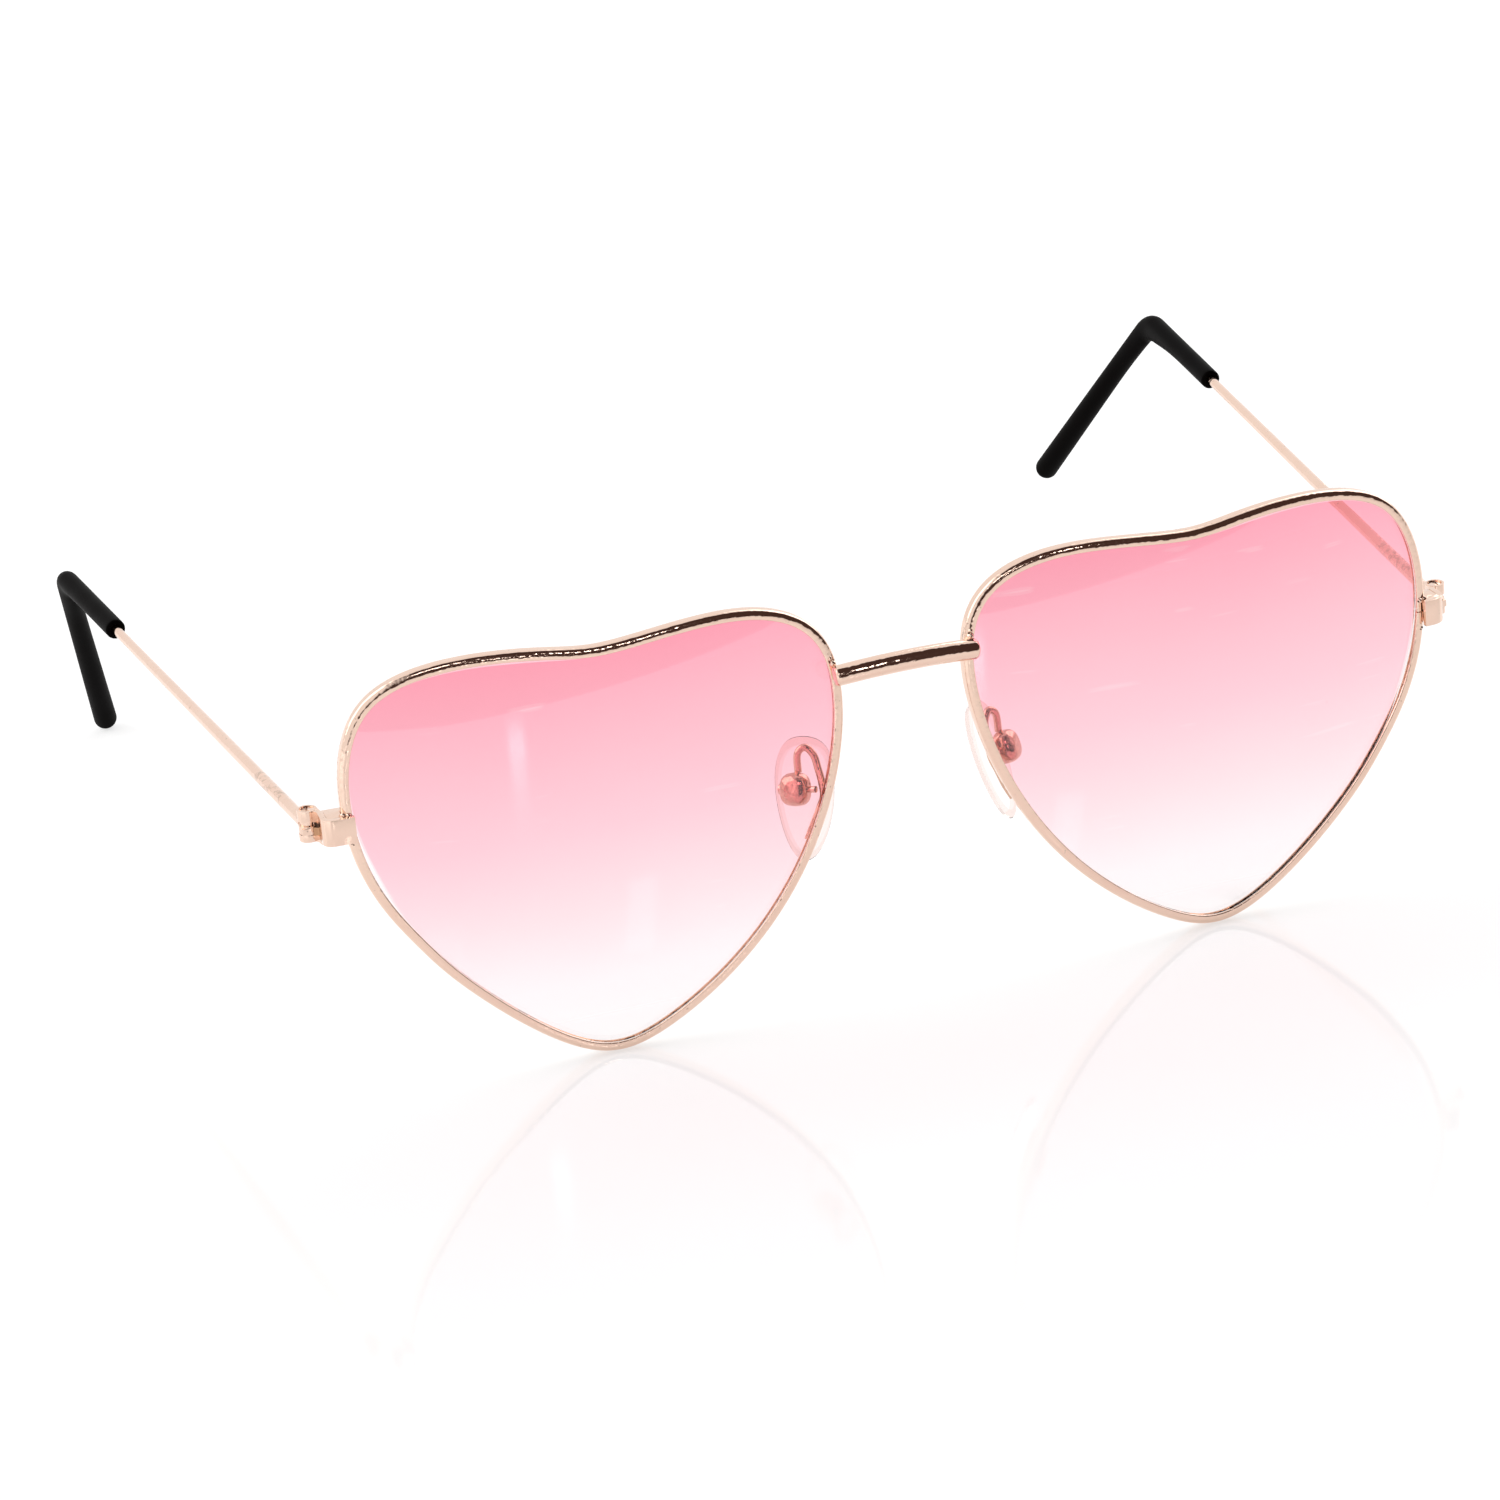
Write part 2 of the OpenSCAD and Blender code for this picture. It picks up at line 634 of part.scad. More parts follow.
module pad_box() {
    half_w = box_w / 2;
    half_h = box_h / 2;
    r = box_corner_r;
    pocket_w = lug_t + 2 * lug_play;
    pocket_h = lug_h + 4 * lug_play + lug_room;
    outline = concat(
        arc([half_w - r, half_h - r], r, 0, 90, 6), arc([r - half_w, half_h - r], r, 90, 180, 6),
        arc([r - half_w, r - half_h], r, 180, 270, 6), arc([half_w - r, r - half_h], r, 270, 360, 6)
    );
    on_pad()
        difference() {
            translate([0, pad_screw_rise, pad_screw_off])
                intersection() {
                    translate([0, 0, -box_front])
                        linear_extrude(height = box_front + box_behind)
                            polygon(outline);
                    translate([0, 0, box_behind - half_h * 1.3])
                        rotate([0, 90, 0])
                            cylinder(r = half_h * 1.3, h = box_w + cut_over, center = true, $fn = 96);
                }
            translate([-pocket_w / 2, pad_screw_rise - pocket_h / 2, pad_screw_off - box_front - cut_over])
                cube([pocket_w, pocket_h, box_front + cut_over + lug_h / 2 + lug_room]);
            across_pad(pad_screw_d + 2 * seat_gap, -box_w, box_w);
        }
}
module pad_screw() {
    half = box_w / 2;
    on_pad() {
        across_pad(pad_screw_d, -half - pad_screw_reach, half + pad_head_h / 2);
        across_pad(pad_head_d, half + seat_gap, half + seat_gap + pad_head_h);
    }
}

// Pad arm: a flattened foot on the back of the eye wire, then a gooseneck of round wire to the box
arm_end = from_pad([-arm_d / 3, pad_screw_rise + box_h / 2 + 2 * seat_gap, pad_screw_off]);
arm_way = arm_end - arm_foot;
arm_places = concat(
    [for (k = [0, 0.5, 1]) foot_point(foot_low_turn + k * (foot_high_turn - foot_low_turn))],
    [for (s = arm_shares) arm_foot + [s[0] * arm_way[0], s[1] * arm_way[1],
        s[2] * arm_way[2] + s[3] * arm_loop_h]],
    [arm_end]
);
// Flatness of the wire at each of those places
flat_shares = concat([foot_t / arm_d, foot_t / arm_d], ease_shares);
// A smooth way through every place, by the weights of a curve that passes its own points
function pass(a, b, c, d, t) = (2 * b + (c - a) * t + (2 * a - 5 * b + 4 * c - d) * pow(t, 2)
    + (3 * b - a - 3 * c + d) * pow(t, 3)) / 2;
function along(list, s) =
    let (last = len(list) - 1, i = min(floor(s), last - 1))
    pass(list[max(i - 1, 0)], list[i], list[i + 1], list[min(i + 2, last)], s - i);
module pad_arm() {
    last = len(arm_places) - 1;
    count = last * arm_rings_share;
    stops = [for (k = [0 : count]) k * last / count];
    centres = [for (s = stops) along(arm_places, s)];
    flats = [for (s = stops) along(flat_shares, s)];
    headings = [for (k = [0 : count]) unit(centres[min(k + 1, count)] - centres[max(k - 1, 0)])];
    backward = [0, 1, 0];
    rings_of_points = [for (k = [0 : count])
        let (side = unit(cross(headings[k], backward)), deep = cross(side, headings[k]))
        for (j = [0 : arm_sides - 1])
            let (a = 360 * (j + 0.5) / arm_sides)
            centres[k] + arm_d / 2 * (cos(a) / flats[k] * side + sin(a) * flats[k] * deep)];
    sides = [for (k = [0 : count - 1]) each band(k * arm_sides, (k + 1) * arm_sides, arm_sides)];
    low = [for (j = [0 : arm_sides - 1]) j];
    high = [for (j = [0 : arm_sides - 1]) (count + 1) * arm_sides - 1 - j];
    polyhedron(rings_of_points, concat(sides, [low, high]));
}

plated = "#dcb8a0";
steel = "#c9a08c";
tint = "#ffb4c4";
tip_black = "#1a1715";
clear = "#f2ece6";

color(plated) in_place() bridge_rod();  // bridge
color(plated) right_side() eye_wire();  // right_eye_wire
color(tint, 0.6) right_side() lens();  // right_lens
color(plated) right_side() end_piece();  // right_end_piece
color(plated) right_side() lock_upper();  // right_lock_upper
color(plated) right_side() lock_lower();  // right_lock_lower
color(steel) right_side() lock_screw();  // right_lock_screw
color(steel) right_side() hinge_screw();  // right_hinge_screw
color(plated) right_side() temple_hinge();  // right_temple_hinge
color(plated) right_side() temple_wire(right_drop);  // right_temple_wire
color(tip_black) right_side() temple_tip(right_drop);  // right_temple_tip
color(plated) right_side() pad_arm();  // right_pad_arm
color(plated) right_side() pad_box();  // right_pad_box
color(steel) right_side() pad_screw();  // right_pad_screw
color(clear, 0.6) right_side() nose_pad();  // right_nose_pad
color(plated) left_side() eye_wire();  // left_eye_wire
color(tint, 0.6) left_side() lens();  // left_lens
color(plated) left_side() end_piece();  // left_end_piece
color(plated) left_side() lock_upper();  // left_lock_upper
color(plated) left_side() lock_lower();  // left_lock_lower
color(steel) left_side() lock_screw();  // left_lock_screw
color(steel) left_side() hinge_screw();  // left_hinge_screw
color(plated) left_side() temple_hinge();  // left_temple_hinge
color(plated) left_side() temple_wire(left_drop);  // left_temple_wire
color(tip_black) left_side() temple_tip(left_drop);  // left_temple_tip
color(plated) left_side() pad_arm();  // left_pad_arm
color(plated) left_side() pad_box();  // left_pad_box
color(steel) left_side() pad_screw();  // left_pad_screw
color(clear, 0.6) left_side() nose_pad();  // left_nose_pad
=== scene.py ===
# Wire framed sunglasses with heart shaped gradient lenses, open on a glossy white table.
# Lengths in the sections are millimetres, as on a drawing of the frame, and meshes are turned to metres.
import json
import math

import bmesh
import bpy
import numpy as np
from mathutils import Matrix, Vector

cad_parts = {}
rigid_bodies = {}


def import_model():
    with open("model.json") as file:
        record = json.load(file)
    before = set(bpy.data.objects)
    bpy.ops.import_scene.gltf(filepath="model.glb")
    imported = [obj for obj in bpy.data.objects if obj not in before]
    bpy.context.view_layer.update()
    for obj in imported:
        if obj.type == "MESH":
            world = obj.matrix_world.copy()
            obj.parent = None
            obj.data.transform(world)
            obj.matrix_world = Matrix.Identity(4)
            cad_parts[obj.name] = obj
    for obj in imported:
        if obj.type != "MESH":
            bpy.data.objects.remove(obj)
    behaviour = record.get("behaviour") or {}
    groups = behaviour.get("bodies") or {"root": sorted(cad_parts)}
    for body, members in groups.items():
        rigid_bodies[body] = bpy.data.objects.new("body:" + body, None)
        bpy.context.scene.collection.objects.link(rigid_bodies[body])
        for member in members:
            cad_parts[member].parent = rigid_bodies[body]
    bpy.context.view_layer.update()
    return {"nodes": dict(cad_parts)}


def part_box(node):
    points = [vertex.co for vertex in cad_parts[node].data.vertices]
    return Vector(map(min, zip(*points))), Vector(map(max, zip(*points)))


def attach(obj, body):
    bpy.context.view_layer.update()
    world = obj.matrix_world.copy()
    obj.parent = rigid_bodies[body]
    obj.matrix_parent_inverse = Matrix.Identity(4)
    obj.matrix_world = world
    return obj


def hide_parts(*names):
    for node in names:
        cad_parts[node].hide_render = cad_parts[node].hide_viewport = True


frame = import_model()
nodes = frame["nodes"]
MM = 0.001

# The camera stands in front of the wearer's right lens and looks down on the pair by 22 degrees,
# with a long lens, as in a product photograph.
camera_place = Vector((-213.172, -706.625, 304.418)) * MM
camera_right = Vector((0.94411, -0.319849, -0.079703))
camera_up = Vector((0.190463, 0.331983, 0.923857))
camera_data = bpy.data.cameras.new("camera")
camera_data.sensor_width = 36
camera_data.lens = 148.243
camera_data.clip_start = 0.01
camera = bpy.data.objects.new("camera", camera_data)
camera.matrix_world = Matrix.Translation(camera_place) @ Matrix(
    (camera_right, camera_up, camera_right.cross(camera_up))).transposed().to_4x4()
in_scene = bpy.context.scene.collection.objects
in_scene.link(camera)
bpy.context.scene.camera = camera


class Field:
    """A shader or geometry socket that takes part in ordinary sums."""

    def __init__(self, tree, socket):
        self.tree, self.socket = tree, socket

    def math(self, operation, *values):
        return add_node(self.tree, "ShaderNodeMath", {"operation": operation},
                        dict(enumerate((self,) + values)))[0]

    def __add__(self, other):
        return self.math("ADD", other)

    def __mul__(self, other):
        return self.math("MULTIPLY", other)

    def __sub__(self, other):
        return self.math("SUBTRACT", other)

    def __rsub__(self, other):
        return add_node(self.tree, "ShaderNodeMath", {"operation": "SUBTRACT"}, {0: other, 1: self})[0]

    def __truediv__(self, other):
        return self.math("DIVIDE", other)

    def ramp(self, low, high):
        """0 below low, 1 above high and smooth between them."""
        return add_node(self.tree, "ShaderNodeMapRange", {"interpolation_type": "SMOOTHSTEP"},
                        {"Value": self, "From Min": low, "From Max": high})["Result"]

    __radd__ = __add__


def add_node(tree, kind, settings, sockets):
    """Adds a node, sets it and its sockets, and gives its outputs by name or number."""
    node = tree.nodes.new(kind)
    for name, value in settings.items():
        setattr(node, name, value)
    for key, value in sockets.items():
        if isinstance(value, Field):
            tree.links.new(value.socket, node.inputs[key])
        else:
            node.inputs[key].default_value = value
    outputs = {s.name: Field(tree, s) for s in node.outputs}
    outputs.update({i: Field(tree, s) for i, s in enumerate(node.outputs)})
    return outputs


def new_material(name):
    """An empty material and its tree, output node and object coordinates in millimetres."""
    material = bpy.data.materials.new(name)
    material.use_nodes = True
    tree = material.node_tree
    tree.nodes.clear()
    place = add_node(tree, "ShaderNodeTexCoord", {}, {})["Object"]
    place = add_node(tree, "ShaderNodeVectorMath", {"operation": "SCALE"}, {0: place, "Scale": 1000.0})[0]
    return material, tree, place


def noise(tree, place, scale, detail):
    return add_node(tree, "ShaderNodeTexNoise", {}, {"Vector": place, "Scale": scale, "Detail": detail})[0]


def blend(tree, share, low, high):
    """The colour low where share is 0 and high where it is 1."""
    return add_node(tree, "ShaderNodeMix", {"data_type": "RGBA"}, {0: share, 6: low, 7: high})[2]


def finish_material(tree, surface):
    output = tree.nodes.new("ShaderNodeOutputMaterial")
    tree.links.new(surface.socket, output.inputs["Surface"])


# The table is a sheet of glossy white acrylic with a matte white backdrop laid on it behind the rims.
# It keeps a faint mirror image of the rims, and its front edge shows as a line in the lenses.
TABLE = ((-3, -0.42), (-0.11, -0.4), (0.3, -0.66), (3, -2.4), (3, 5), (-3, 5))
BACKDROP_FROM, BACKDROP_TO = -62.0, -40.0
table_mesh = bpy.data.meshes.new("table")
table_mesh.from_pydata([(x, y, 0) for x, y in TABLE], [], [tuple(range(len(TABLE)))])
table = bpy.data.objects.new("table", table_mesh)
table.location.z = -0.00002
in_scene.link(table)
table_material, tree, place = new_material("white_acrylic")
rays = add_node(tree, "ShaderNodeLightPath", {}, {})
seen = rays["Is Camera Ray"].math("MAXIMUM", rays["Is Transmission Ray"]).math("MAXIMUM", rays["Is Glossy Ray"])
along = add_node(tree, "ShaderNodeSeparateXYZ", {}, {0: place})["Y"]
behind, ahead = along.ramp(BACKDROP_FROM, BACKDROP_TO), 1 - along.ramp(-150.0, -85.0)
acrylic = add_node(tree, "ShaderNodeBsdfPrincipled", {}, {
    "Base Color": (0.45, 0.45, 0.45, 1), "Roughness": 0.06 + behind * 0.9, "IOR": 1.45,
    "Emission Color": (1, 1, 1, 1), "Emission Strength": seen * (0.56 + behind * 0.11 + ahead * 0.06)})
finish_material(tree, acrylic["BSDF"])
table_mesh.materials.append(table_material)

# A white sweep rises behind the pair and over it, with a white card on the left; in front the room is dark
# beyond the table, but for one narrow upright light that fades upward.
world = bpy.data.worlds.new("studio")
world.use_nodes = True
bpy.context.scene.world = world
tree = world.node_tree
tree.nodes.clear()
direction = add_node(tree, "ShaderNodeTexCoord", {}, {})["Generated"]
parts = add_node(tree, "ShaderNodeSeparateXYZ", {}, {0: direction})
rays = add_node(tree, "ShaderNodeLightPath", {}, {})
level = parts["Y"].ramp(-0.04, 0.04).math("MAXIMUM", (parts["X"] * -1).ramp(0.3, 0.55))
slit = (parts["X"] / (parts["Y"] * -1) + 0.02).math("ABSOLUTE").ramp(0.006, 0.03)
slit = (1 - slit) * parts["Z"].ramp(0.1, 0.2) * (1 - parts["Z"].ramp(0.16, 0.46)) * (parts["Y"] * -1).ramp(0.3, 0.4)
level = level.math("MAXIMUM", slit).math("MAXIMUM", rays["Is Camera Ray"])
shade = blend(tree, level, (0.06, 0.035, 0.03, 1), (1, 1, 1, 1))
background = add_node(tree, "ShaderNodeBackground", {}, {"Color": shade, "Strength": 1.0 + slit * 7.0})
output = tree.nodes.new("ShaderNodeOutputWorld")
tree.links.new(background[0].socket, output.inputs["Surface"])

# A small strip light and a square one stand in front, and a wide soft box on each side to the back.
for name, spot, aim, size, power in (
        ("square", (-0.33, -1.0, 0.75), (0, -0.05, 0.03), (0.26, 0.26), 0.6),
        ("strip_right", (0.2, -1.05, 0.66), (0, -0.05, 0.03), (0.07, 0.2), 0.3),
        ("box_left", (-0.8, 0.3, 0.6), (0, -0.03, 0.02), (0.9, 0.9), 3.2),
        ("box_right", (0.8, 0.45, 0.6), (0, -0.03, 0.02), (0.9, 0.9), 3.2)):
    lamp = bpy.data.lights.new(name, "AREA")
    lamp.shape = "RECTANGLE"
    lamp.size, lamp.size_y = size
    lamp.energy = power
    box = bpy.data.objects.new(name, lamp)
    box.location = spot
    box.rotation_euler = (Vector(aim) - Vector(spot)).to_track_quat("-Z", "Y").to_euler()
    in_scene.link(box)


# The eye wires are grooved wire, drawn to a section with rounded edges and bent to a heart on the lens's curve.
# Their two ends meet behind the end piece, where a hair line of a gap is left.


def plating(name, dark=0.0, scuff=None, wavy=1.0, rough=0.06):
    """Polished rose gold plate: slightly uneven colour and gloss, a hand polished waviness, fine pits,
    and dark rubbed marks between two places along the temple."""
    material, tree, place = new_material(name)
    cloud = noise(tree, place, 0.16, 3.0)
    grain = noise(tree, place, 5.0, 4.0)
    pits = noise(tree, place, 2.1, 2.0).ramp(0.7, 0.76)
    marks = pits * 0.5
    if scuff:
        along = add_node(tree, "ShaderNodeSeparateXYZ", {}, {0: place})["Y"]
        near = along.ramp(scuff[0], scuff[0] + 1.5) * (1 - along.ramp(scuff[1] - 1.5, scuff[1]))
        spots = add_node(tree, "ShaderNodeTexNoise", {}, {"Vector": place, "Scale": 1.1, "Detail": 5.0,
                                                          "Roughness": 0.7})[0].ramp(0.5, 0.6)
        marks = marks.math("MAXIMUM", near * spots * 0.3)
    tone = blend(tree, cloud, (0.84 - dark, 0.6 - dark, 0.48 - dark, 1), (0.9 - dark, 0.68 - dark, 0.56 - dark, 1))
    tone = blend(tree, marks, tone, (0.2, 0.12, 0.09, 1))
    wave = noise(tree, place, 1.1, 1.0)
    bump = add_node(tree, "ShaderNodeBump", {}, {"Strength": 1.0, "Distance": 0.00006 * wavy, "Height": wave})
    bump = add_node(tree, "ShaderNodeBump", {}, {"Strength": 0.12, "Distance": 0.00002, "Height": grain - pits,
                                                 "Normal": bump["Normal"]})
    metal = add_node(tree, "ShaderNodeBsdfPrincipled", {}, {
        "Base Color": tone, "Metallic": 1.0, "Roughness": rough + grain * 0.08 + marks * 0.25,
        "Normal": bump["Normal"]})
    finish_material(tree, metal["BSDF"])
    return material


def make_piece(name, mesh, material, body, replaced=(), sharp=38):
    """Puts a finished mesh into the scene as a piece that rides on a body and stands for CAD nodes."""
    mesh.materials.clear()
    mesh.materials.append(material)
    mesh.polygons.foreach_set("use_smooth", [True] * len(mesh.polygons))
    mesh.set_sharp_from_angle(angle=math.radians(sharp))
    piece = bpy.data.objects.new(name, mesh)
    in_scene.link(piece)
    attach(piece, body)
    if replaced:
        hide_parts(*replaced)


def skin(name, rings):
    """A closed mesh through rings of points in millimetres, with its ends capped."""
    rings = np.asarray(rings, float) * MM
    count, sides = rings.shape[:2]
    faces = []
    for a in range(0, (count - 1) * sides, sides):
        b = a + sides
        faces += [(a + j, a + (j + 1) % sides, b + (j + 1) % sides, b + j) for j in range(sides)]
    faces.append(tuple(range(sides - 1, -1, -1)))
    faces.append(tuple(range((count - 1) * sides, count * sides)))
    mesh = bpy.data.meshes.new(name)
    mesh.from_pydata(rings.reshape(-1, 3).tolist(), [], faces)
    solid = bmesh.new()
    solid.from_mesh(mesh)
    bmesh.ops.remove_doubles(solid, verts=solid.verts, dist=1e-7)
    bmesh.ops.recalc_face_normals(solid, faces=solid.faces)
    solid.to_mesh(mesh)
    solid.free()
    return mesh


def per_point(mesh, name, values):
    """Stores a value at each point of a mesh."""
    mesh.attributes.new(name, "FLOAT", "POINT").data.foreach_set("value", np.asarray(values, float))


def arc(centre, r, start, end, steps):
    """Points of an arc between two angles in degrees."""
    return [(centre[0] + r * math.cos(a), centre[1] + r * math.sin(a))
            for a in np.radians(np.linspace(start, end, steps + 1))]


HEART_W, HEART_H, SPACING = 60.4, 52.4, 76.0
CURVE_R, APEX, WRAP = 125.0, 3.3, math.radians(3.3)
MIDDLE_Y = 69.2772
WIRE_W, WIRE_D, GROOVE, MOUTH, FLOOR = 1.15, 1.8, 0.5, 1.3, 1.22
CROWN_W, CROWN_D, BACK_R, LIP_R, FRONT_LIP_R, RIM_STEPS = 0.82, 0.6, 0.4, 0.1, 0.12, 641
SPLIT, SPLIT_GAP = 3.853, 0.15
HEART = np.array([
    (1.05, 0.83), (0.61, 1.05), (0, 0.93), (-0.17, 1.01), (-1, 1), (-1.03, 0.12),
    (-0.77, -0.32), (-0.61, -0.56), (-0.12, -1.06), (0.17, -0.98), (0.65, -0.57), (0.98, 0.08)])


def loop_point(shares, turn):
    """Point of the smooth closed curve that the control points pull on."""
    turn = np.asarray(turn, float)
    first = np.floor(turn).astype(int)
    t = (turn - first)[..., None]
    weights = ((1 - t) ** 3 / 6, (3 * t ** 3 - 6 * t ** 2 + 4) / 6,
               (-3 * t ** 3 + 3 * t ** 2 + 3 * t + 1) / 6, t ** 3 / 6)
    return sum(w * shares[(first + k) % len(shares)] for k, w in enumerate(weights))


def heart_outline(turn, inset):
    scale = (HEART_W / 2, HEART_H / 2)
    slope = (loop_point(HEART, turn + 0.01) - loop_point(HEART, turn - 0.01)) * scale
    outward = np.stack([slope[..., 1], -slope[..., 0]], -1) / np.linalg.norm(slope, axis=-1)[..., None]
    return loop_point(HEART, turn) * scale - inset * outward


def sag(p, radius=CURVE_R):
    return CURVE_R - np.sqrt(radius ** 2 - p[..., 0] ** 2 - (p[..., 1] - APEX) ** 2)


heart_low = heart_outline(np.arange(96) / 8, 0)[:, 1].min()


def in_front(side, u, back, v):
    """Place in the pair of a point given toward the nose, back and up on its own heart."""
    return np.stack([side * (SPACING / 2 - u * math.cos(WRAP) - back * math.sin(WRAP)),
                     back * math.cos(WRAP) - u * math.sin(WRAP) - MIDDLE_Y, v - heart_low], -1)


half = WIRE_D / 2
crown = [(CROWN_W - CROWN_W * math.cos(a), CROWN_D - half - CROWN_D * math.sin(a))
         for a in np.radians(np.linspace(90, 0, 11))]
wire_section = (crown + arc((BACK_R, half - BACK_R), BACK_R, 180, 90, 6)
                + arc((WIRE_W - LIP_R, half - LIP_R), LIP_R, 90, 0, 3)
                + [(WIRE_W, MOUTH / 2), (WIRE_W - GROOVE, FLOOR / 2)]
                + [(WIRE_W - GROOVE, -FLOOR / 2), (WIRE_W, -MOUTH / 2)]
                + arc((WIRE_W - FRONT_LIP_R, FRONT_LIP_R - half), FRONT_LIP_R, 0, -90, 4))
speed = np.linalg.norm(heart_outline(np.array([SPLIT + 0.01]), 0) - heart_outline(np.array([SPLIT]), 0)) / 0.01
wire_turns = np.linspace(SPLIT + SPLIT_GAP / speed / 2, SPLIT + len(HEART) - SPLIT_GAP / speed / 2, RIM_STEPS)
wire_back = sag(heart_outline(wire_turns, WIRE_W - GROOVE / 2))
plate = plating("rose_gold_plate")
SIDES = ((-1, "right"), (1, "left"))
for side, hand in SIDES:
    rings = []
    for inset, deep in wire_section:
        p = heart_outline(wire_turns, inset)
        rings.append(in_front(side, p[:, 0], wire_back + deep, p[:, 1]))
    make_piece(hand + "_rim", skin(hand + "_rim", np.transpose(rings, (1, 0, 2))), plate, "front",
               [hand + "_eye_wire"])

# The lenses are cast plastic, a millimetre thick, dyed pink from the top down to almost clear.
# Their edge stands in the groove all round.
LENS_T, LENS_INSET, LENS_STEPS, BEVEL_FALL = 1.0, 0.71, 480, 0.3
GAP, WIDER_GAPS = 0.02, ((0.6, 4.27, 0.44), (0.28, 2.0, 0.7))
lens_material, tree, place = new_material("pink_gradient")
height = add_node(tree, "ShaderNodeSeparateXYZ", {}, {0: place})["Z"]
drift = noise(tree, place, 0.05, 1.0)
dye = add_node(tree, "ShaderNodeValToRGB", {}, {0: (height + (drift - 0.5) * 3.0) / 54.0})
stops = dye["Color"].socket.node.color_ramp
stops.elements[0].position, stops.elements[0].color = 0.04, (0.99, 0.96, 0.965, 1)
stops.elements[1].position, stops.elements[1].color = 0.97, (0.985, 0.36, 0.46, 1)
for spot, colour in ((0.18, (0.985, 0.90, 0.92, 1)), (0.36, (0.98, 0.74, 0.78, 1)), (0.55, (0.985, 0.585, 0.66, 1)),
                     (0.75, (0.985, 0.475, 0.56, 1))):
    stops.elements.new(spot).color = colour
specks = add_node(tree, "ShaderNodeTexVoronoi", {}, {"Vector": place, "Scale": 0.13})["Distance"]
specks = 1 - specks.ramp(0.008, 0.016)
tone = blend(tree, specks * 0.35, dye["Color"], (0.5, 0.2, 0.25, 1))
streak = add_node(tree, "ShaderNodeVectorMath", {"operation": "MULTIPLY"}, {0: place, 1: (0.1, 0.1, 1.5)})[0]
streak = noise(tree, streak, 1.0, 0.0).ramp(0.79, 0.83)
tone = blend(tree, streak * 0.16, tone, (1, 1, 1, 1))
rim_band = add_node(tree, "ShaderNodeAttribute", {"attribute_name": "bevel"}, {})["Fac"]
tone = blend(tree, rim_band * 0.85, tone, (1, 1, 1, 1))
lens_glass = add_node(tree, "ShaderNodeBsdfPrincipled", {}, {
    "Base Color": tone, "Roughness": 0.0, "IOR": 1.56, "Transmission Weight": 1.0})


def let_light_through(tree, glass, tone):
    """Light on its way to the table passes the clear piece in a straight line, in its tint."""
    rays = add_node(tree, "ShaderNodeLightPath", {}, {})
    passing = rays["Is Shadow Ray"].math("MAXIMUM", rays["Is Diffuse Ray"])
    clear = add_node(tree, "ShaderNodeBsdfTransparent", {}, {"Color": tone})[0]
    return add_node(tree, "ShaderNodeMixShader", {}, {0: passing, 1: glass, 2: clear})[0]


finish_material(tree, let_light_through(tree, lens_glass["BSDF"], tone))
for side, hand in SIDES:
    turns = np.linspace(0, len(HEART), LENS_STEPS, endpoint=False)
    edge = heart_outline(turns, LENS_INSET)
    inset = WIRE_W + GAP
    for more, at, spread in WIDER_GAPS:
        inset = inset + more * np.exp(-((turns - at) / spread) ** 2)[:, None]
    flat = heart_outline(turns, inset)
    middle = np.array([0.0, 2.0])
    rings, bevel = [], []
    for shares, inner, outer, lift, fall, on_bevel in (
            (np.linspace(0.02, 1, 30), middle, flat, LENS_T / 2, 0, 0),
            ((0.06, 1), flat, edge, LENS_T / 2, BEVEL_FALL, 1),
            ((1, 0.06), flat, edge, -LENS_T / 2, 0, 1),
            (np.linspace(1, 0.02, 30), middle, flat, -LENS_T / 2, 0, 0)):
        for share in shares:
            p = inner + (outer - inner) * share
            rings.append(in_front(side, p[:, 0], sag(p, CURVE_R + lift) + share * fall, p[:, 1]))
            bevel.append(on_bevel)
    mesh = skin(hand + "_tinted_lens", rings)
    per_point(mesh, "bevel", np.repeat(bevel, LENS_STEPS))
    make_piece(hand + "_tinted_lens", mesh, lens_material, "front", [hand + "_lens"], sharp=12)


# The bridge is a rod of 2.5 mm bent to a shallow arch, brazed across the fronts of both eye wires.
# Its cut ends are rounded and stand a little over the wires.


def new_group(name, sockets):
    """A geometry node tree with named inputs and one output: the tree, its inputs and their identifiers."""
    tree = bpy.data.node_groups.new(name, "GeometryNodeTree")
    keys = {label: tree.interface.new_socket(label, in_out="INPUT", socket_type="NodeSocket" + kind).identifier
            for label, kind in sockets.items()}
    tree.interface.new_socket("Shape", in_out="OUTPUT", socket_type="NodeSocketGeometry")
    start = tree.nodes.new("NodeGroupInput")
    return tree, {s.name: Field(tree, s) for s in start.outputs if s.name}, keys


def finish_group(tree, geometry, finish):
    """Ends a tree in real meshes of one material."""
    geometry = add_node(tree, "GeometryNodeRealizeInstances", {}, {0: geometry})[0]
    geometry = add_node(tree, "GeometryNodeSetMaterial", {}, {0: geometry, "Material": finish})[0]
    tree.links.new(geometry.socket, tree.nodes.new("NodeGroupOutput").inputs[0])


def stored(tree, name, kind="FLOAT"):
    """The value that a mesh stores at each point under a name."""
    return add_node(tree, "GeometryNodeInputNamedAttribute", {"data_type": kind}, {"Name": name})["Attribute"]


def vector_math(tree, operation, first, second):
    return add_node(tree, "ShaderNodeVectorMath", {"operation": operation}, {0: first, 1: second})[0]


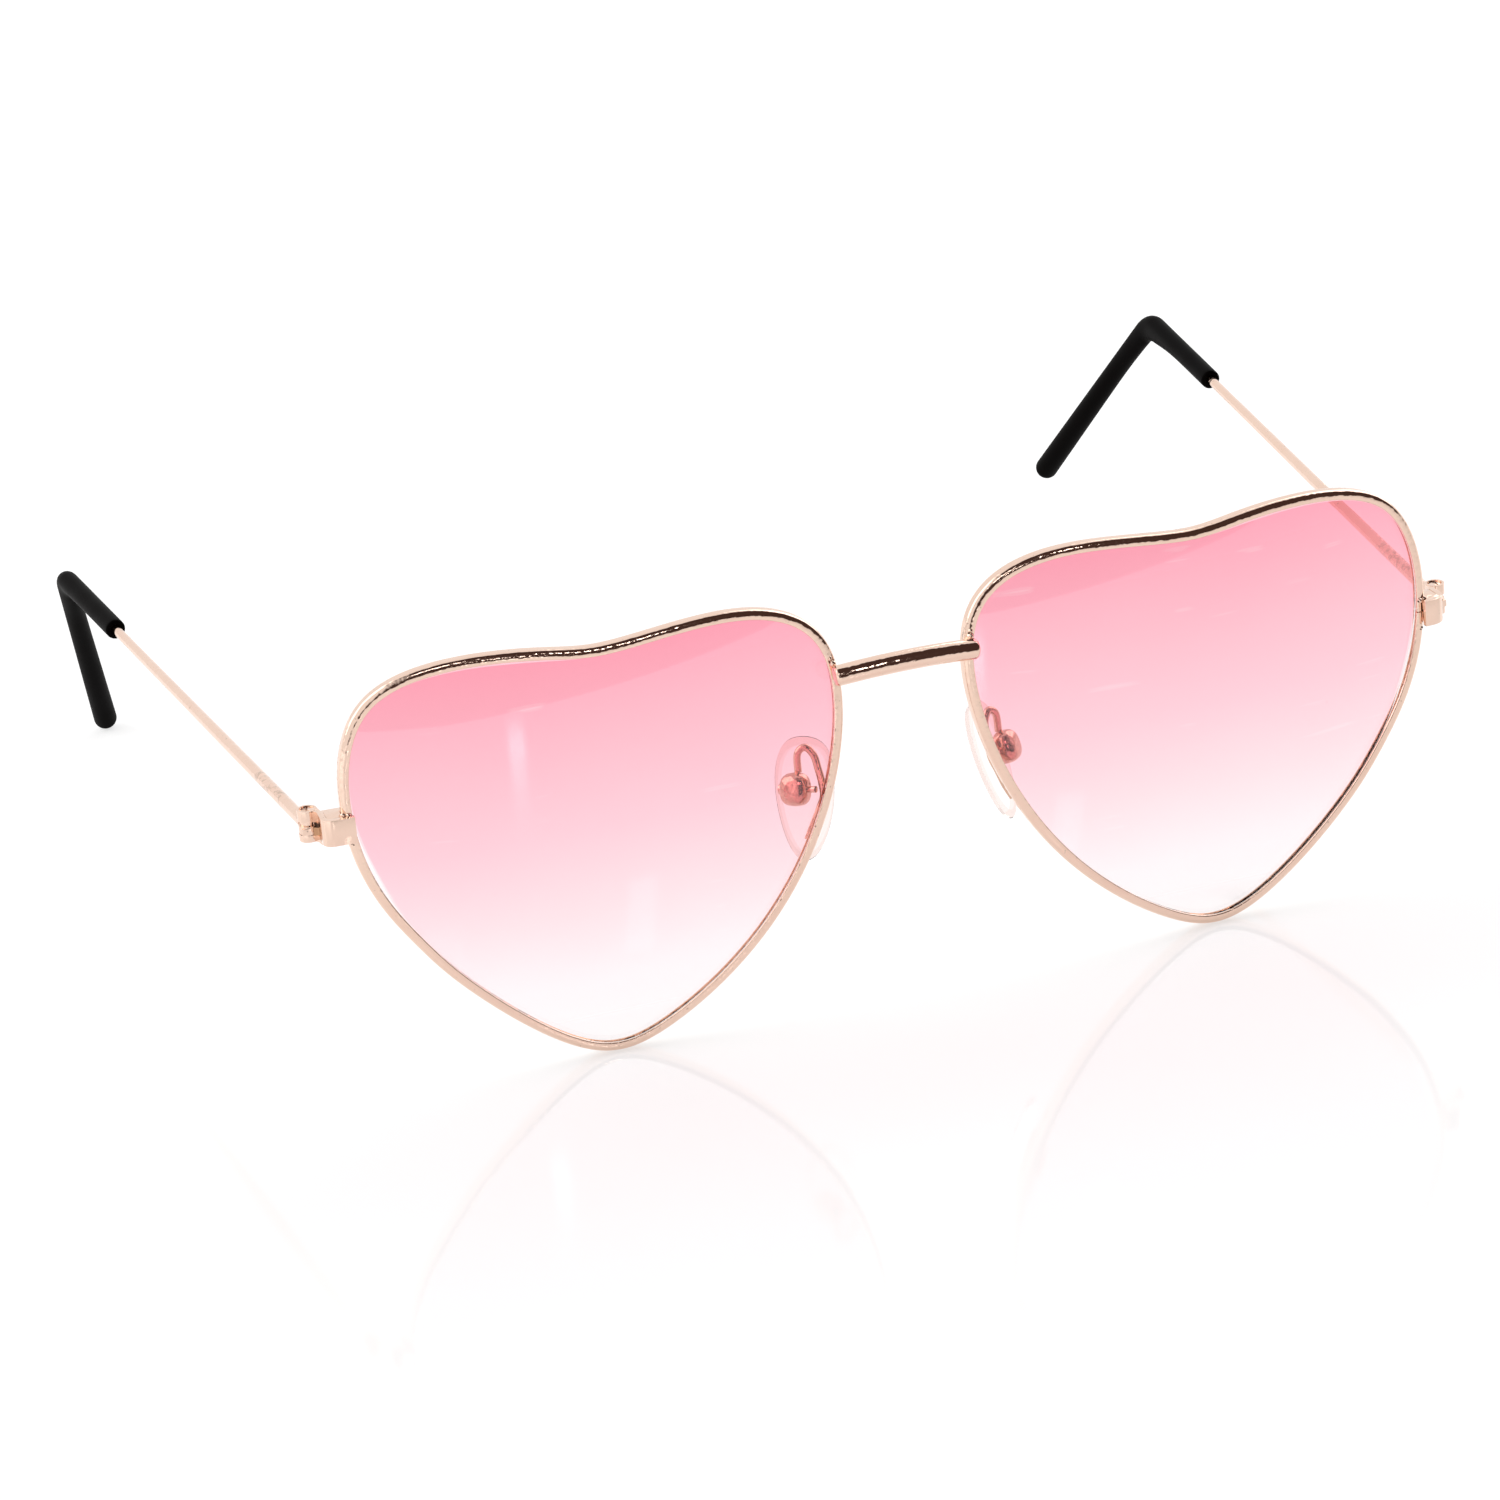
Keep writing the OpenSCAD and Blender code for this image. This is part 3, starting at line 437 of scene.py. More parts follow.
def drawn_wire_tree():
    """Geometry nodes that sweep a round wire along a line, thick by its radius and flat where it is hammered."""
    tree, take, keys = new_group("drawn_wire", {"Line": "Geometry", "Sides": "Int", "Finish": "Material"})
    line = add_node(tree, "GeometryNodeMeshToCurve", {}, {0: take["Line"]})[0]
    spot = add_node(tree, "GeometryNodeInputPosition", {}, {})[0]
    line = add_node(tree, "GeometryNodeStoreNamedAttribute", {"data_type": "FLOAT_VECTOR", "domain": "POINT"},
                    {0: line, "Name": "core", "Value": spot})[0]
    line = add_node(tree, "GeometryNodeSetCurveNormal", {"mode": "MINIMUM_TWIST"}, {0: line})[0]
    ring = add_node(tree, "GeometryNodeCurvePrimitiveCircle", {"mode": "RADIUS"},
                    {"Resolution": take["Sides"], "Radius": 1.0})[0]
    wire = add_node(tree, "GeometryNodeCurveToMesh", {}, {
        "Curve": line, "Profile Curve": ring, "Scale": stored(tree, "thick"), "Fill Caps": True})[0]
    core, flat = stored(tree, "core", "FLOAT_VECTOR"), stored(tree, "flat")
    wide = add_node(tree, "ShaderNodeMath", {"operation": "DIVIDE"}, {0: 1.0, 1: flat})[0]
    squeeze = add_node(tree, "ShaderNodeCombineXYZ", {}, {"X": wide, "Y": flat, "Z": wide})[0]
    out = vector_math(tree, "MULTIPLY", vector_math(tree, "SUBTRACT", spot, core), squeeze)
    wire = add_node(tree, "GeometryNodeSetPosition", {}, {
        0: wire, "Position": vector_math(tree, "ADD", core, out)})[0]
    finish_group(tree, wire, take["Finish"])
    return tree, keys


def grown(name, mesh, group, values):
    """Runs a node tree on a mesh and gives the result as a plain mesh."""
    tree, keys = group
    seed = bpy.data.objects.new(name + "_seed", mesh)
    in_scene.link(seed)
    modifier = seed.modifiers.new("nodes", "NODES")
    modifier.node_group = tree
    for label, value in values.items():
        modifier[keys[label]] = value
    seed.update_tag()
    result = bpy.data.meshes.new_from_object(seed.evaluated_get(bpy.context.evaluated_depsgraph_get()))
    seed.modifiers.remove(modifier)
    bpy.data.objects.remove(seed)
    result.name = name
    for attribute in ("thick", "flat", "core"):
        if attribute in result.attributes:
            result.attributes.remove(result.attributes[attribute])
    return result


drawn_wire = drawn_wire_tree()


def swept_wire(name, points, thick, flat=None, sides=32, finish=None):
    """A wire through points in millimetres, with its radius at each and its flatness toward the front."""
    line = bpy.data.meshes.new(name + "_line")
    line.from_pydata((np.asarray(points) * MM).tolist(), [(i, i + 1) for i in range(len(points) - 1)], [])
    per_point(line, "thick", np.asarray(thick, float) * MM)
    per_point(line, "flat", np.ones(len(points)) if flat is None else flat)
    return grown(name, line, drawn_wire, {"Sides": sides, "Finish": finish or plate})


ROD_R, ROD_L, ARCH, LEAN, END_R = 1.25, 17.894, 0.5, math.radians(35), 0.5
BRIDGE_TURN, BRAZE_GAP = 10.77, 0.03
seat = heart_outline(np.array([BRIDGE_TURN]), 0)[0]
seat_back = sag(heart_outline(np.array([BRIDGE_TURN]), WIRE_W - GROOVE / 2))[0] - half
bridge_at = in_front(1, seat[0], seat_back, seat[1]) - (0, BRAZE_GAP + ROD_R, 0)
reach = ROD_L / 2 - END_R
arch_r = (reach ** 2 + ARCH ** 2) / (2 * ARCH)
swing = math.asin(reach / arch_r)
rod_line, rod_thick = [], []
for k in np.linspace(-1, 1, 61):
    rod_line.append((arch_r * math.sin(k * swing), arch_r * math.cos(k * swing) - arch_r + ARCH))
    rod_thick.append(ROD_R)
for a in np.radians(np.linspace(12, 90, 7)):
    for end in (-1, 1):
        tangent = (end * math.cos(swing), -math.sin(swing))
        tip = (end * arch_r * math.sin(swing), arch_r * math.cos(swing) - arch_r + ARCH)
        spot = (tip[0] + tangent[0] * END_R * math.sin(a), tip[1] + tangent[1] * END_R * math.sin(a))
        where = 0 if end < 0 else len(rod_line)
        rod_line.insert(where, spot)
        rod_thick.insert(where, ROD_R - END_R + END_R * math.cos(a))
rod_line = [(x, bridge_at[1] - z * math.sin(LEAN), bridge_at[2] + z * math.cos(LEAN)) for x, z in rod_line]
make_piece("bridge_rod", swept_wire("bridge_rod", rod_line, rod_thick, sides=72), plate, "front",
           ["bridge"])


# Small beads of braze stand where the wires meet the end pieces, the bridge and the pad arms' feet.
# They are drops of the same alloy under the plate, none quite round.
def bead_tree():
    """Geometry nodes that set an uneven drop at each spot."""
    tree, take, keys = new_group("braze_beads", {
        "Spots": "Geometry", "Seed": "Int", "Unevenness": "Float", "Finish": "Material"})
    ball = add_node(tree, "GeometryNodeMeshIcoSphere", {}, {"Radius": 1.0, "Subdivisions": 4})["Mesh"]
    turn = add_node(tree, "FunctionNodeRandomValue", {"data_type": "FLOAT_VECTOR"}, {
        0: (0.0, 0.0, 0.0), 1: (6.28, 6.28, 6.28), "Seed": take["Seed"]})[0]
    squash = add_node(tree, "FunctionNodeRandomValue", {"data_type": "FLOAT_VECTOR"}, {
        0: (0.75, 0.75, 0.75), 1: (1.15, 1.15, 1.15), "Seed": take["Seed"] + 1})[0]
    scale = add_node(tree, "ShaderNodeVectorMath", {"operation": "SCALE"}, {
        0: squash, "Scale": stored(tree, "thick")})[0]
    beads = add_node(tree, "GeometryNodeInstanceOnPoints", {}, {
        "Points": take["Spots"], "Instance": ball, "Rotation": turn, "Scale": scale})[0]
    beads = add_node(tree, "GeometryNodeRealizeInstances", {}, {0: beads})[0]
    spot = add_node(tree, "GeometryNodeInputPosition", {}, {})[0]
    wave = add_node(tree, "ShaderNodeTexNoise", {}, {"Vector": spot, "Scale": 1400.0, "Detail": 1.0})["Color"]
    wave = vector_math(tree, "SUBTRACT", wave, (0.5, 0.5, 0.5))
    wave = add_node(tree, "ShaderNodeVectorMath", {"operation": "SCALE"}, {0: wave, "Scale": take["Unevenness"]})[0]
    beads = add_node(tree, "GeometryNodeSetPosition", {}, {0: beads, "Offset": wave})[0]
    finish_group(tree, beads, take["Finish"])
    return tree, keys


braze = bead_tree()


def braze_beads(name, side, spots, unevenness, finish):
    """Beads at spots given as turn, way along the wire, inset and depth, with their radius."""
    places, sizes = [], []
    for turn, along, inset, deep, r in spots:
        at = np.array([turn])
        pace = np.linalg.norm(heart_outline(at + 0.01, 0) - heart_outline(at, 0)) / 0.01
        at = at + along / pace
        p = heart_outline(at, inset)
        back = sag(heart_outline(at, WIRE_W - GROOVE / 2)) + deep
        places.append(in_front(side, p[:, 0], back, p[:, 1])[0] * MM)
        sizes.append(r * MM)
    seeds = bpy.data.meshes.new(name + "_spots")
    seeds.from_pydata([tuple(q) for q in places], [], [])
    per_point(seeds, "thick", sizes)
    beads = grown(name, seeds, braze, {"Seed": 7, "Unevenness": unevenness * MM, "Finish": finish})
    make_piece(name, beads, finish, "front", sharp=180)


FOOT_FROM, FOOT_TO = 9.6, 9.815
bead_plate = plating("braze_plate", rough=0.2)
# A near-black finish. It is flux residue on the small drops at the joints, and it is also painted shade in the
# fillets under the joints and in the hinge notch.
soot_and_shade, tree, place = new_material("flux_residue")
grain = noise(tree, place, 4.0, 3.0)
tone = blend(tree, grain, (0.03, 0.02, 0.015, 1), (0.2, 0.1, 0.06, 1))
dark_drop_shader = add_node(tree, "ShaderNodeBsdfPrincipled", {}, {
    "Base Color": tone, "Roughness": 0.35 + grain * 0.2, "Metallic": 0.6})
finish_material(tree, dark_drop_shader["BSDF"])
for side, hand in SIDES:
    braze_beads(hand + "_braze", side, (
        (SPLIT, -1.48, 0.15, -0.6, 0.38), (SPLIT, -1.5, 0.75, -0.84, 0.38),
        (BRIDGE_TURN, 1.3, 0.55, -0.95, 0.42), (BRIDGE_TURN, 1.9, 0.6, -0.75, 0.3),
        (BRIDGE_TURN, -1.35, 0.5, -0.9, 0.36), (FOOT_FROM, -0.2, 0.55, 1.0, 0.4),
        (FOOT_TO, 0.35, 0.6, 1.0, 0.42)), 0.1, bead_plate)
    # Small dark drops at the joints: partly flux residue, partly painted shade in the fillets where the wires meet
    # the plates and the bridge.
    braze_beads(hand + "_residue", side, (
        (SPLIT, 2.0, 0.3, -0.82, 0.12), (SPLIT, 2.25, 0.45, -0.86, 0.1), (SPLIT, -1.45, 1.05, -1.0, 0.13),
        (BRIDGE_TURN, 1.55, 0.8, -1.05, 0.13), (BRIDGE_TURN, 1.65, 0.3, -0.98, 0.12)), 0.12, soot_and_shade)


# The end pieces are cast in one with the two outer hinge barrels: a front plate over the wire's joint,
# a rounded corner and a side wall. Behind each stand the two lock blocks that hold the wire's ends.


def softened(name, mesh, width):
    """A mesh with its sharp edges broken by a small radius, as a tumbled casting has them."""
    holder = bpy.data.objects.new(name + "_holder", mesh)
    in_scene.link(holder)
    bevel = holder.modifiers.new("bevel", "BEVEL")
    bevel.width = width * MM
    bevel.segments = 3
    bevel.limit_method = "ANGLE"
    bevel.angle_limit = math.radians(40)
    result = bpy.data.meshes.new_from_object(holder.evaluated_get(bpy.context.evaluated_depsgraph_get()))
    bpy.data.objects.remove(holder)
    result.name = name
    return result


def cad_copy(node):
    """A merged copy of a CAD node's mesh, in as few faces as its shape needs."""
    mesh = nodes[node].data.copy()
    solid = bmesh.new()
    solid.from_mesh(mesh)
    bmesh.ops.remove_doubles(solid, verts=solid.verts, dist=1e-6)
    bmesh.ops.dissolve_limit(solid, angle_limit=math.radians(0.5), verts=solid.verts, edges=solid.edges)
    solid.to_mesh(mesh)
    solid.free()
    return mesh


def joined(name, meshes):
    """One mesh of several closed shells."""
    whole = bmesh.new()
    for mesh in meshes:
        whole.from_mesh(mesh)
    result = bpy.data.meshes.new(name)
    whole.to_mesh(result)
    whole.free()
    return result


BLOCK_H, PLATE_T, BLOCK_W, WALL_T, CORNER_R, BLOCK_BACK = 3.2, 0.68, 2.7, 0.7, 1.3, 2.1
HINGE_OUT, HINGE_BACK, BARREL_R, HEAD_R, HEAD_H = 3.53, 3.4, 1.18, 0.88, 0.53
HINGE_Z = (31.805, 32.655, 34.255, 35.605)
NOTCH_Z, CORE_R = 33.6, 0.02
TONGUE_HALF, TONGUE_L, TONGUE_TURN = 0.7, 1.36, math.radians(-6.3)
split_at = heart_outline(np.array([SPLIT]), 0)[0]
split_middle = sag(heart_outline(np.array([SPLIT]), WIRE_W - GROOVE / 2))[0]
block_turn = BLOCK_H / 2 / speed
wire_bow = max(abs(sag(heart_outline(np.array([SPLIT + k * block_turn]), WIRE_W - GROOVE / 2))[0] - split_middle)
               for k in (-1, 1))
wall_front = half + wire_bow + BRAZE_GAP


def upright(side, outline, low, high):
    """A prism that stands between two heights, from points given outward and back from the wire's joint."""
    out, back = np.array(outline, float).T
    return skin("prism", [in_front(side, split_at[0] - out, split_middle + back, np.full(len(out), z + heart_low))
                          for z in (low, high)])


def barrel(side, low, high, r, recess=0.0):
    """A hinge barrel about the screw's axis, with a seat for the screw's head in its top."""
    turn = np.radians(np.arange(0, 360, 6))
    seat = high - recess - 0.001
    return skin("barrel", [
        in_front(side, split_at[0] - HINGE_OUT + q * np.cos(turn), split_middle + HINGE_BACK + q * np.sin(turn),
                 np.full(len(turn), z + heart_low))
        for q, z in ((CORE_R, low), (r, low), (r, high), (HEAD_R, high), (HEAD_R, seat), (CORE_R, seat))])


smooth_plate = plating("smooth_rose_gold", wavy=0.3)
# A darker copy of the plate: painted shade for the web deep in the hinge notch.
notch_shade_plate = plating("painted_shade_plate", dark=0.36, wavy=0.5)
for side, hand in SIDES:
    front = wall_front + PLATE_T
    reach_in, round_r = (1.14, CORNER_R) if side < 0 else (0.4, 2.1)
    round_at = (BLOCK_W - round_r, round_r - front)
    plate_outline = (
        [(-reach_in, -wall_front), (-reach_in, -front)] + arc(round_at, round_r, -90, 0, 12)
        + [(BLOCK_W, 1.2), (BLOCK_W - 0.2, BLOCK_BACK - 0.2), (BLOCK_W - WALL_T, BLOCK_BACK)]
        + arc(round_at, round_r - WALL_T, 0, -90, 8))
    barrel_at, inner_wall = (HINGE_OUT, HINGE_BACK), BLOCK_W - WALL_T
    ear = [(inner_wall, 0.9), (BLOCK_W - 0.12, 0.9), (BLOCK_W + 0.05, 1.9), (HINGE_OUT - 0.35, HINGE_BACK - 0.95),
           barrel_at, (HINGE_OUT - BARREL_R, HINGE_BACK)]
    web = [(inner_wall, 1.6), (BLOCK_W - 0.2, 1.6), (BLOCK_W - 0.08, 1.9), (3.05, 2.22)]
    web += arc(barrel_at, BARREL_R, 252, 232, 4) + [(inner_wall, 2.4)]
    hollow = [(inner_wall, 2.0), (BLOCK_W - 0.25, 1.7), (2.85, 2.3)]
    hollow += arc(barrel_at, 1.25, 246, 232, 3) + [(2.1, 2.4)]
    shells = [upright(side, plate_outline, HINGE_Z[3] - BLOCK_H, HINGE_Z[3])]
    for low, high, recess in ((HINGE_Z[0], HINGE_Z[1], 0.0), (HINGE_Z[2], HINGE_Z[3], HEAD_H)):
        shells += [upright(side, ear, low + 0.02, high - 0.02), barrel(side, low, high, BARREL_R, recess)]
    # The notch between the barrels gets painted shade: a near-black fill in the slot and the darker web below it.
    make_piece(hand + "_notch_residue", upright(side, hollow, NOTCH_Z - 0.05, HINGE_Z[2] + 0.1), soot_and_shade, "front")
    make_piece(hand + "_notch_web", upright(side, web, HINGE_Z[1] - 0.1, NOTCH_Z), notch_shade_plate, "front")
    make_piece(hand + "_corner", softened(hand + "_corner", joined(hand + "_corner", shells), 0.09), smooth_plate,
               "front", [hand + "_end_piece"])
    for part in (hand + "_lock_upper", hand + "_lock_lower"):
        make_piece(part + "_block", softened(part + "_block", cad_copy(part), 0.08), plate, "front",
                   [part])
    c, s = math.cos(TONGUE_TURN), math.sin(TONGUE_TURN)
    tongue = [(HINGE_OUT + x * c - y * s, HINGE_BACK + x * s + y * c) for x, y in (
        (TONGUE_HALF, 0), (TONGUE_HALF, TONGUE_L), (-TONGUE_HALF, TONGUE_L), (-TONGUE_HALF, 0))]
    heel = [barrel_at, (HINGE_OUT, HINGE_BACK - 1.27), (HINGE_OUT + 0.95, HINGE_BACK - 1.1),
            (HINGE_OUT + 0.95, HINGE_BACK)]
    knuckle = [barrel(side, HINGE_Z[1] + 0.05, NOTCH_Z + 0.1, 1.14), barrel(side, NOTCH_Z, HINGE_Z[2] - 0.05, 0.9),
               upright(side, tongue, HINGE_Z[1] + 0.1, HINGE_Z[2] - 0.1),
               upright(side, heel, HINGE_Z[1] + 0.06, HINGE_Z[1] + 0.9)]
    make_piece(hand + "_knuckle", softened(hand + "_knuckle", joined(hand + "_knuckle", knuckle), 0.08), smooth_plate,
               hand + "_temple", [hand + "_temple_hinge"])

# The temples are straight wire, drawn thinner to the back, with rubbed marks just behind the hinge.
# Each is brazed to its knuckle and runs 20 mm into the tip.
HINGE = (71.1293, -60.4231, 33.4553)
SPLAY, DROP = math.radians(3), {-1: math.radians(1.394), 1: math.radians(-2.706)}
WIRE_START, TIP_START, BEND_AT, BEND_R = 1.38, 80.3, 104.6, 5.0
TAIL = (-8.5, 28.8, 23.4)
TIP_MOUTH, TIP_END, MOUTH_ROUND, IN_TIP = 2.55, 3.1, 0.35, 20


def on_temple(side, points):
    """Places in the pair of points given outward, down and back from the hinge along a temple."""
    x, y, z = np.asarray(points, float).T
    x, y, z = x, z, -y
    x, y = x * math.cos(SPLAY) + y * math.sin(SPLAY), y * math.cos(SPLAY) - x * math.sin(SPLAY)
    d = DROP[side]
    y, z = y * math.cos(d) + z * math.sin(d), z * math.cos(d) - y * math.sin(d)
    return np.stack([side * (HINGE[0] + x), HINGE[1] + y, HINGE[2] + z], -1)


worn = plating("rubbed_rose_gold", scuff=(-53, -41))
for side, hand in SIDES:
    way = np.concatenate([np.linspace(WIRE_START, TIP_START, 80), [TIP_START + IN_TIP]])
    thick = np.concatenate([np.linspace(0.8, 0.6, 80), [0.6]])
    line = on_temple(side, [(0, 0, s) for s in way])
    make_piece(hand + "_side_wire", swept_wire(hand + "_side_wire", line, thick, sides=40, finish=worn), worn,
               hand + "_temple", [hand + "_temple_wire"])

# The tips are moulded plastic sleeves, pushed over the wire and bent over the ear, deepest at the bend.
# Their skin has a soft gloss with faint rubbed patches.
tip_material, tree, place = new_material("black_tip_plastic")
cloud = noise(tree, place, 0.25, 3.0)
grain = noise(tree, place, 6.0, 3.0)
tone = blend(tree, cloud, (0.0012, 0.001, 0.001, 1), (0.003, 0.002, 0.0018, 1))
bump = add_node(tree, "ShaderNodeBump", {}, {"Strength": 0.1, "Distance": 0.00003, "Height": grain})
plastic = add_node(tree, "ShaderNodeBsdfPrincipled", {}, {
    "Base Color": tone, "Roughness": 0.42 + cloud * 0.15, "IOR": 1.25, "Specular IOR Level": 0.06,
    "Normal": bump["Normal"]})
STRAIGHT = 99.0
finish_material(tree, plastic["BSDF"])
tail_l = math.sqrt(sum(v * v for v in TAIL))
bend = math.acos(TAIL[2] / tail_l)
run = BEND_R * math.tan(bend / 2)
sideways = np.array([TAIL[0], TAIL[1], 0]) / math.hypot(TAIL[0], TAIL[1])
forward = np.array([0.0, 0, 1])
for side, hand in SIDES:
    stations = [(TIP_START + along, r) for along, r in ((IN_TIP + 0.03, 0.63), (0.15, 0.63), (0.03, 0.68), (0, 0.78))]
    stations += [(TIP_START + MOUTH_ROUND * (1 - math.cos(a)), TIP_MOUTH / 2 - MOUTH_ROUND * (1 - math.sin(a)))
                 for a in np.radians(np.linspace(0, 90, 6))]
    stations += [(s, TIP_MOUTH / 2) for s in np.linspace(TIP_START + 1, BEND_AT - run, 14)]
    rings = []
    turn = np.linspace(0, 2 * math.pi, 56, endpoint=False)
    across = np.array([sideways[1], -sideways[0], 0])

    def ring(middle, heading, r, from_bend=STRAIGHT):
        deep = np.sin(turn) * np.where(np.sin(turn) > 0, 1 + 0.7 * math.exp(-(from_bend / 7.5) ** 2), 1)
        around = np.cos(turn)[:, None] * across + deep[:, None] * np.cross(heading, across)
        return on_temple(side, middle + r * around)

    for s, r in stations:
        rings.append(ring(np.array([0, 0, s]), forward, r, BEND_AT - s if r > 1 else STRAIGHT))
    corner = np.array([0, 0, BEND_AT - run]) + BEND_R * sideways
    for a in np.linspace(0, bend, 22)[1:]:
        heading = forward * math.cos(a) + sideways * math.sin(a)
        middle = corner + BEND_R * (forward * math.sin(a) - sideways * math.cos(a))
        rings.append(ring(middle, heading, TIP_MOUTH / 2, 0.0))
    start = np.array([0, 0, BEND_AT]) + heading * run
    for s in np.linspace(0, 1, 26)[1:]:
        r = (TIP_MOUTH + (TIP_END - TIP_MOUTH) * s) / 2
        rings.append(ring(start + heading * (tail_l - run) * s, heading, r, run + (tail_l - run) * s))
    for a in np.radians(np.linspace(0, 88, 12))[1:]:
        middle = start + heading * (tail_l - run + TIP_END / 2 * math.sin(a))
        rings.append(ring(middle, heading, TIP_END / 2 * math.cos(a)))
    make_piece(hand + "_tip_sleeve", skin(hand + "_tip_sleeve", rings), tip_material, hand + "_temple",
               [hand + "_temple_tip"])

# The pad arms are round wire, hammered flat at the foot that is brazed behind the eye wire and bent up
# and over to the pad box.
PAD_AT = np.array([11.7513, 6.3338 - MIDDLE_Y, 25.4019])
PAD_L, PAD_W, PAD_T = 13.6, 7.8, 1.2
FLARE, TILT, PAD_LEAN = math.radians(39), math.radians(19), math.radians(8)
RISE, OFF = 1.3, 2.3


def on_pad(side, points):
    """Places in the pair of points given back along a pad, up it and away from the nose."""
    x, y, z = np.asarray(points, float).T
    x, y = x * math.cos(PAD_LEAN) + y * math.sin(PAD_LEAN), y * math.cos(PAD_LEAN) - x * math.sin(PAD_LEAN)
    y, z = y * math.sin(TILT) - z * math.cos(TILT), y * math.cos(TILT) + z * math.sin(TILT)
    x, y = x * math.sin(FLARE) - y * math.cos(FLARE), x * math.cos(FLARE) + y * math.sin(FLARE)
    return np.stack([side * (PAD_AT[0] + x), PAD_AT[1] + y, PAD_AT[2] + z], -1)


ARM_D, FOOT_T, LOOP_H, ARM_STEPS = 0.9, 0.6, 3.0, 109
ARM_SHARES = ((-0.42, 0.13, 0.36, 0), (-0.5, 0.33, 0.74, 0), (-0.46, 0.58, 1, 0.16), (-0.32, 0.8, 1, 0.66),
              (0.24, 0.98, 1, 0.97), (0.9, 1.05, 1, 0.72))
foot_turns = np.array([FOOT_FROM, (FOOT_FROM + FOOT_TO) / 2, FOOT_TO])
p = heart_outline(foot_turns, WIRE_W / 2)
foot = in_front(1, p[:, 0], sag(heart_outline(foot_turns, WIRE_W - GROOVE / 2)) + half + BRAZE_GAP + FOOT_T / 2,
                p[:, 1])
arm_end = on_pad(1, [(-ARM_D / 3, RISE + 2.06, OFF)])[0]
way = arm_end - foot[2]
knots = list(foot) + [foot[2] + (out * way[0], back * way[1], up * way[2] + loop * LOOP_H)
                      for out, back, up, loop in ARM_SHARES] + [arm_end]
flats = [FOOT_T / ARM_D, FOOT_T / ARM_D, 0.8] + [1] * 7


def passing(values, s):
    """Smooth way through every knot."""
    values = np.asarray(values, float)
    last = len(values) - 1
    i = min(int(s), last - 1)
    t = s - i
    a, b, c, d = values[max(i - 1, 0)], values[i], values[i + 1], values[min(i + 2, last)]
    return (2 * b + (c - a) * t + (2 * a - 5 * b + 4 * c - d) * t ** 2 + (3 * b - a - 3 * c + d) * t ** 3) / 2


arm_plate = plating("coppery_plate", dark=0.15)
for side, hand in SIDES:
    spots = np.linspace(0, len(knots) - 1, ARM_STEPS)
    line = np.array([passing(knots, s) for s in spots]) * (side, 1, 1)
    make_piece(hand + "_gooseneck", swept_wire(hand + "_gooseneck", line, np.full(ARM_STEPS, ARM_D / 2),
                                               [passing(flats, s) for s in spots], sides=28, finish=arm_plate),
               arm_plate, "front", [hand + "_pad_arm"])

# The pad boxes are small cast drops, hollow toward the nose, with a pitted back.
# Each is brazed to the end of its gooseneck and plated with it.
BOX_W, BOX_H, BOX_FRONT, BOX_BACK = 3.7, 4.0, 1.0, 1.7
cast_plate, tree, place = new_material("pitted_plate")
cells = add_node(tree, "ShaderNodeTexVoronoi", {"feature": "SMOOTH_F1"}, {
    "Vector": place, "Scale": 1.3, "Smoothness": 0.6})["Distance"]
grain = noise(tree, place, 4.0, 4.0)
tone = blend(tree, grain, (0.45, 0.22, 0.16, 1), (0.9, 0.6, 0.46, 1))
bump = add_node(tree, "ShaderNodeBump", {}, {"Strength": 1.0, "Distance": 0.00007, "Height": cells + grain * 0.2})
cast = add_node(tree, "ShaderNodeBsdfPrincipled", {}, {
    "Base Color": tone, "Metallic": 1.0, "Roughness": 0.03 + grain * 0.1, "Normal": bump["Normal"]})
finish_material(tree, cast["BSDF"])


def cut(name, mesh, cutter):
    """Takes a closed mesh out of another."""
    holder = bpy.data.objects.new(name + "_holder", mesh)
    tool = bpy.data.objects.new(name + "_tool", cutter)
    in_scene.link(holder)
    in_scene.link(tool)
    step = holder.modifiers.new("cut", "BOOLEAN")
    step.operation, step.object, step.solver = "DIFFERENCE", tool, "EXACT"
    result = bpy.data.meshes.new_from_object(holder.evaluated_get(bpy.context.evaluated_depsgraph_get()))
    bpy.data.objects.remove(tool)
    bpy.data.objects.remove(holder)
    result.name = name
    return result


def drop_rings(side, steps=40, sides=56):
    """Rings of a rounded drop that fills the pad box's space, from its nose side to its back."""
    rings = []
    for a in np.linspace(-90, 90, steps + 1):
        deep = math.copysign(abs(math.sin(math.radians(a))) ** 0.8, a)
        wide = math.cos(math.radians(a)) ** 0.55 if abs(a) < 90 else 0.001
        z = OFF + (BOX_BACK * deep if deep > 0 else BOX_FRONT * deep)
        turn = np.linspace(0, 2 * math.pi, sides, endpoint=False)
        x = np.sign(np.cos(turn)) * np.abs(np.cos(turn)) ** 0.75 * BOX_W / 2 * wide
        y = np.sign(np.sin(turn)) * np.abs(np.sin(turn)) ** 0.75 * BOX_H / 2 * wide
        rings.append(on_pad(side, np.stack([x, RISE + y, np.full(sides, z)], -1)))
    return rings


def block(side, low, high):
    """A rectangular block in a pad's own directions."""
    (x0, y0, z0), (x1, y1, z1) = low, high
    return skin("block", [on_pad(side, [(x0, y0, z), (x1, y0, z), (x1, y1, z), (x0, y1, z)]) for z in (z0, z1)])


for side, hand in SIDES:
    pocket = block(side, (-0.72, RISE - 1.265, OFF - 1.5), (0.72, RISE + 1.265, OFF + 1.1))
    drop = cut(hand + "_drop_box", skin(hand + "_drop_box", drop_rings(side)), pocket)
    make_piece(hand + "_drop_box", drop, cast_plate, "front", [hand + "_pad_box"])

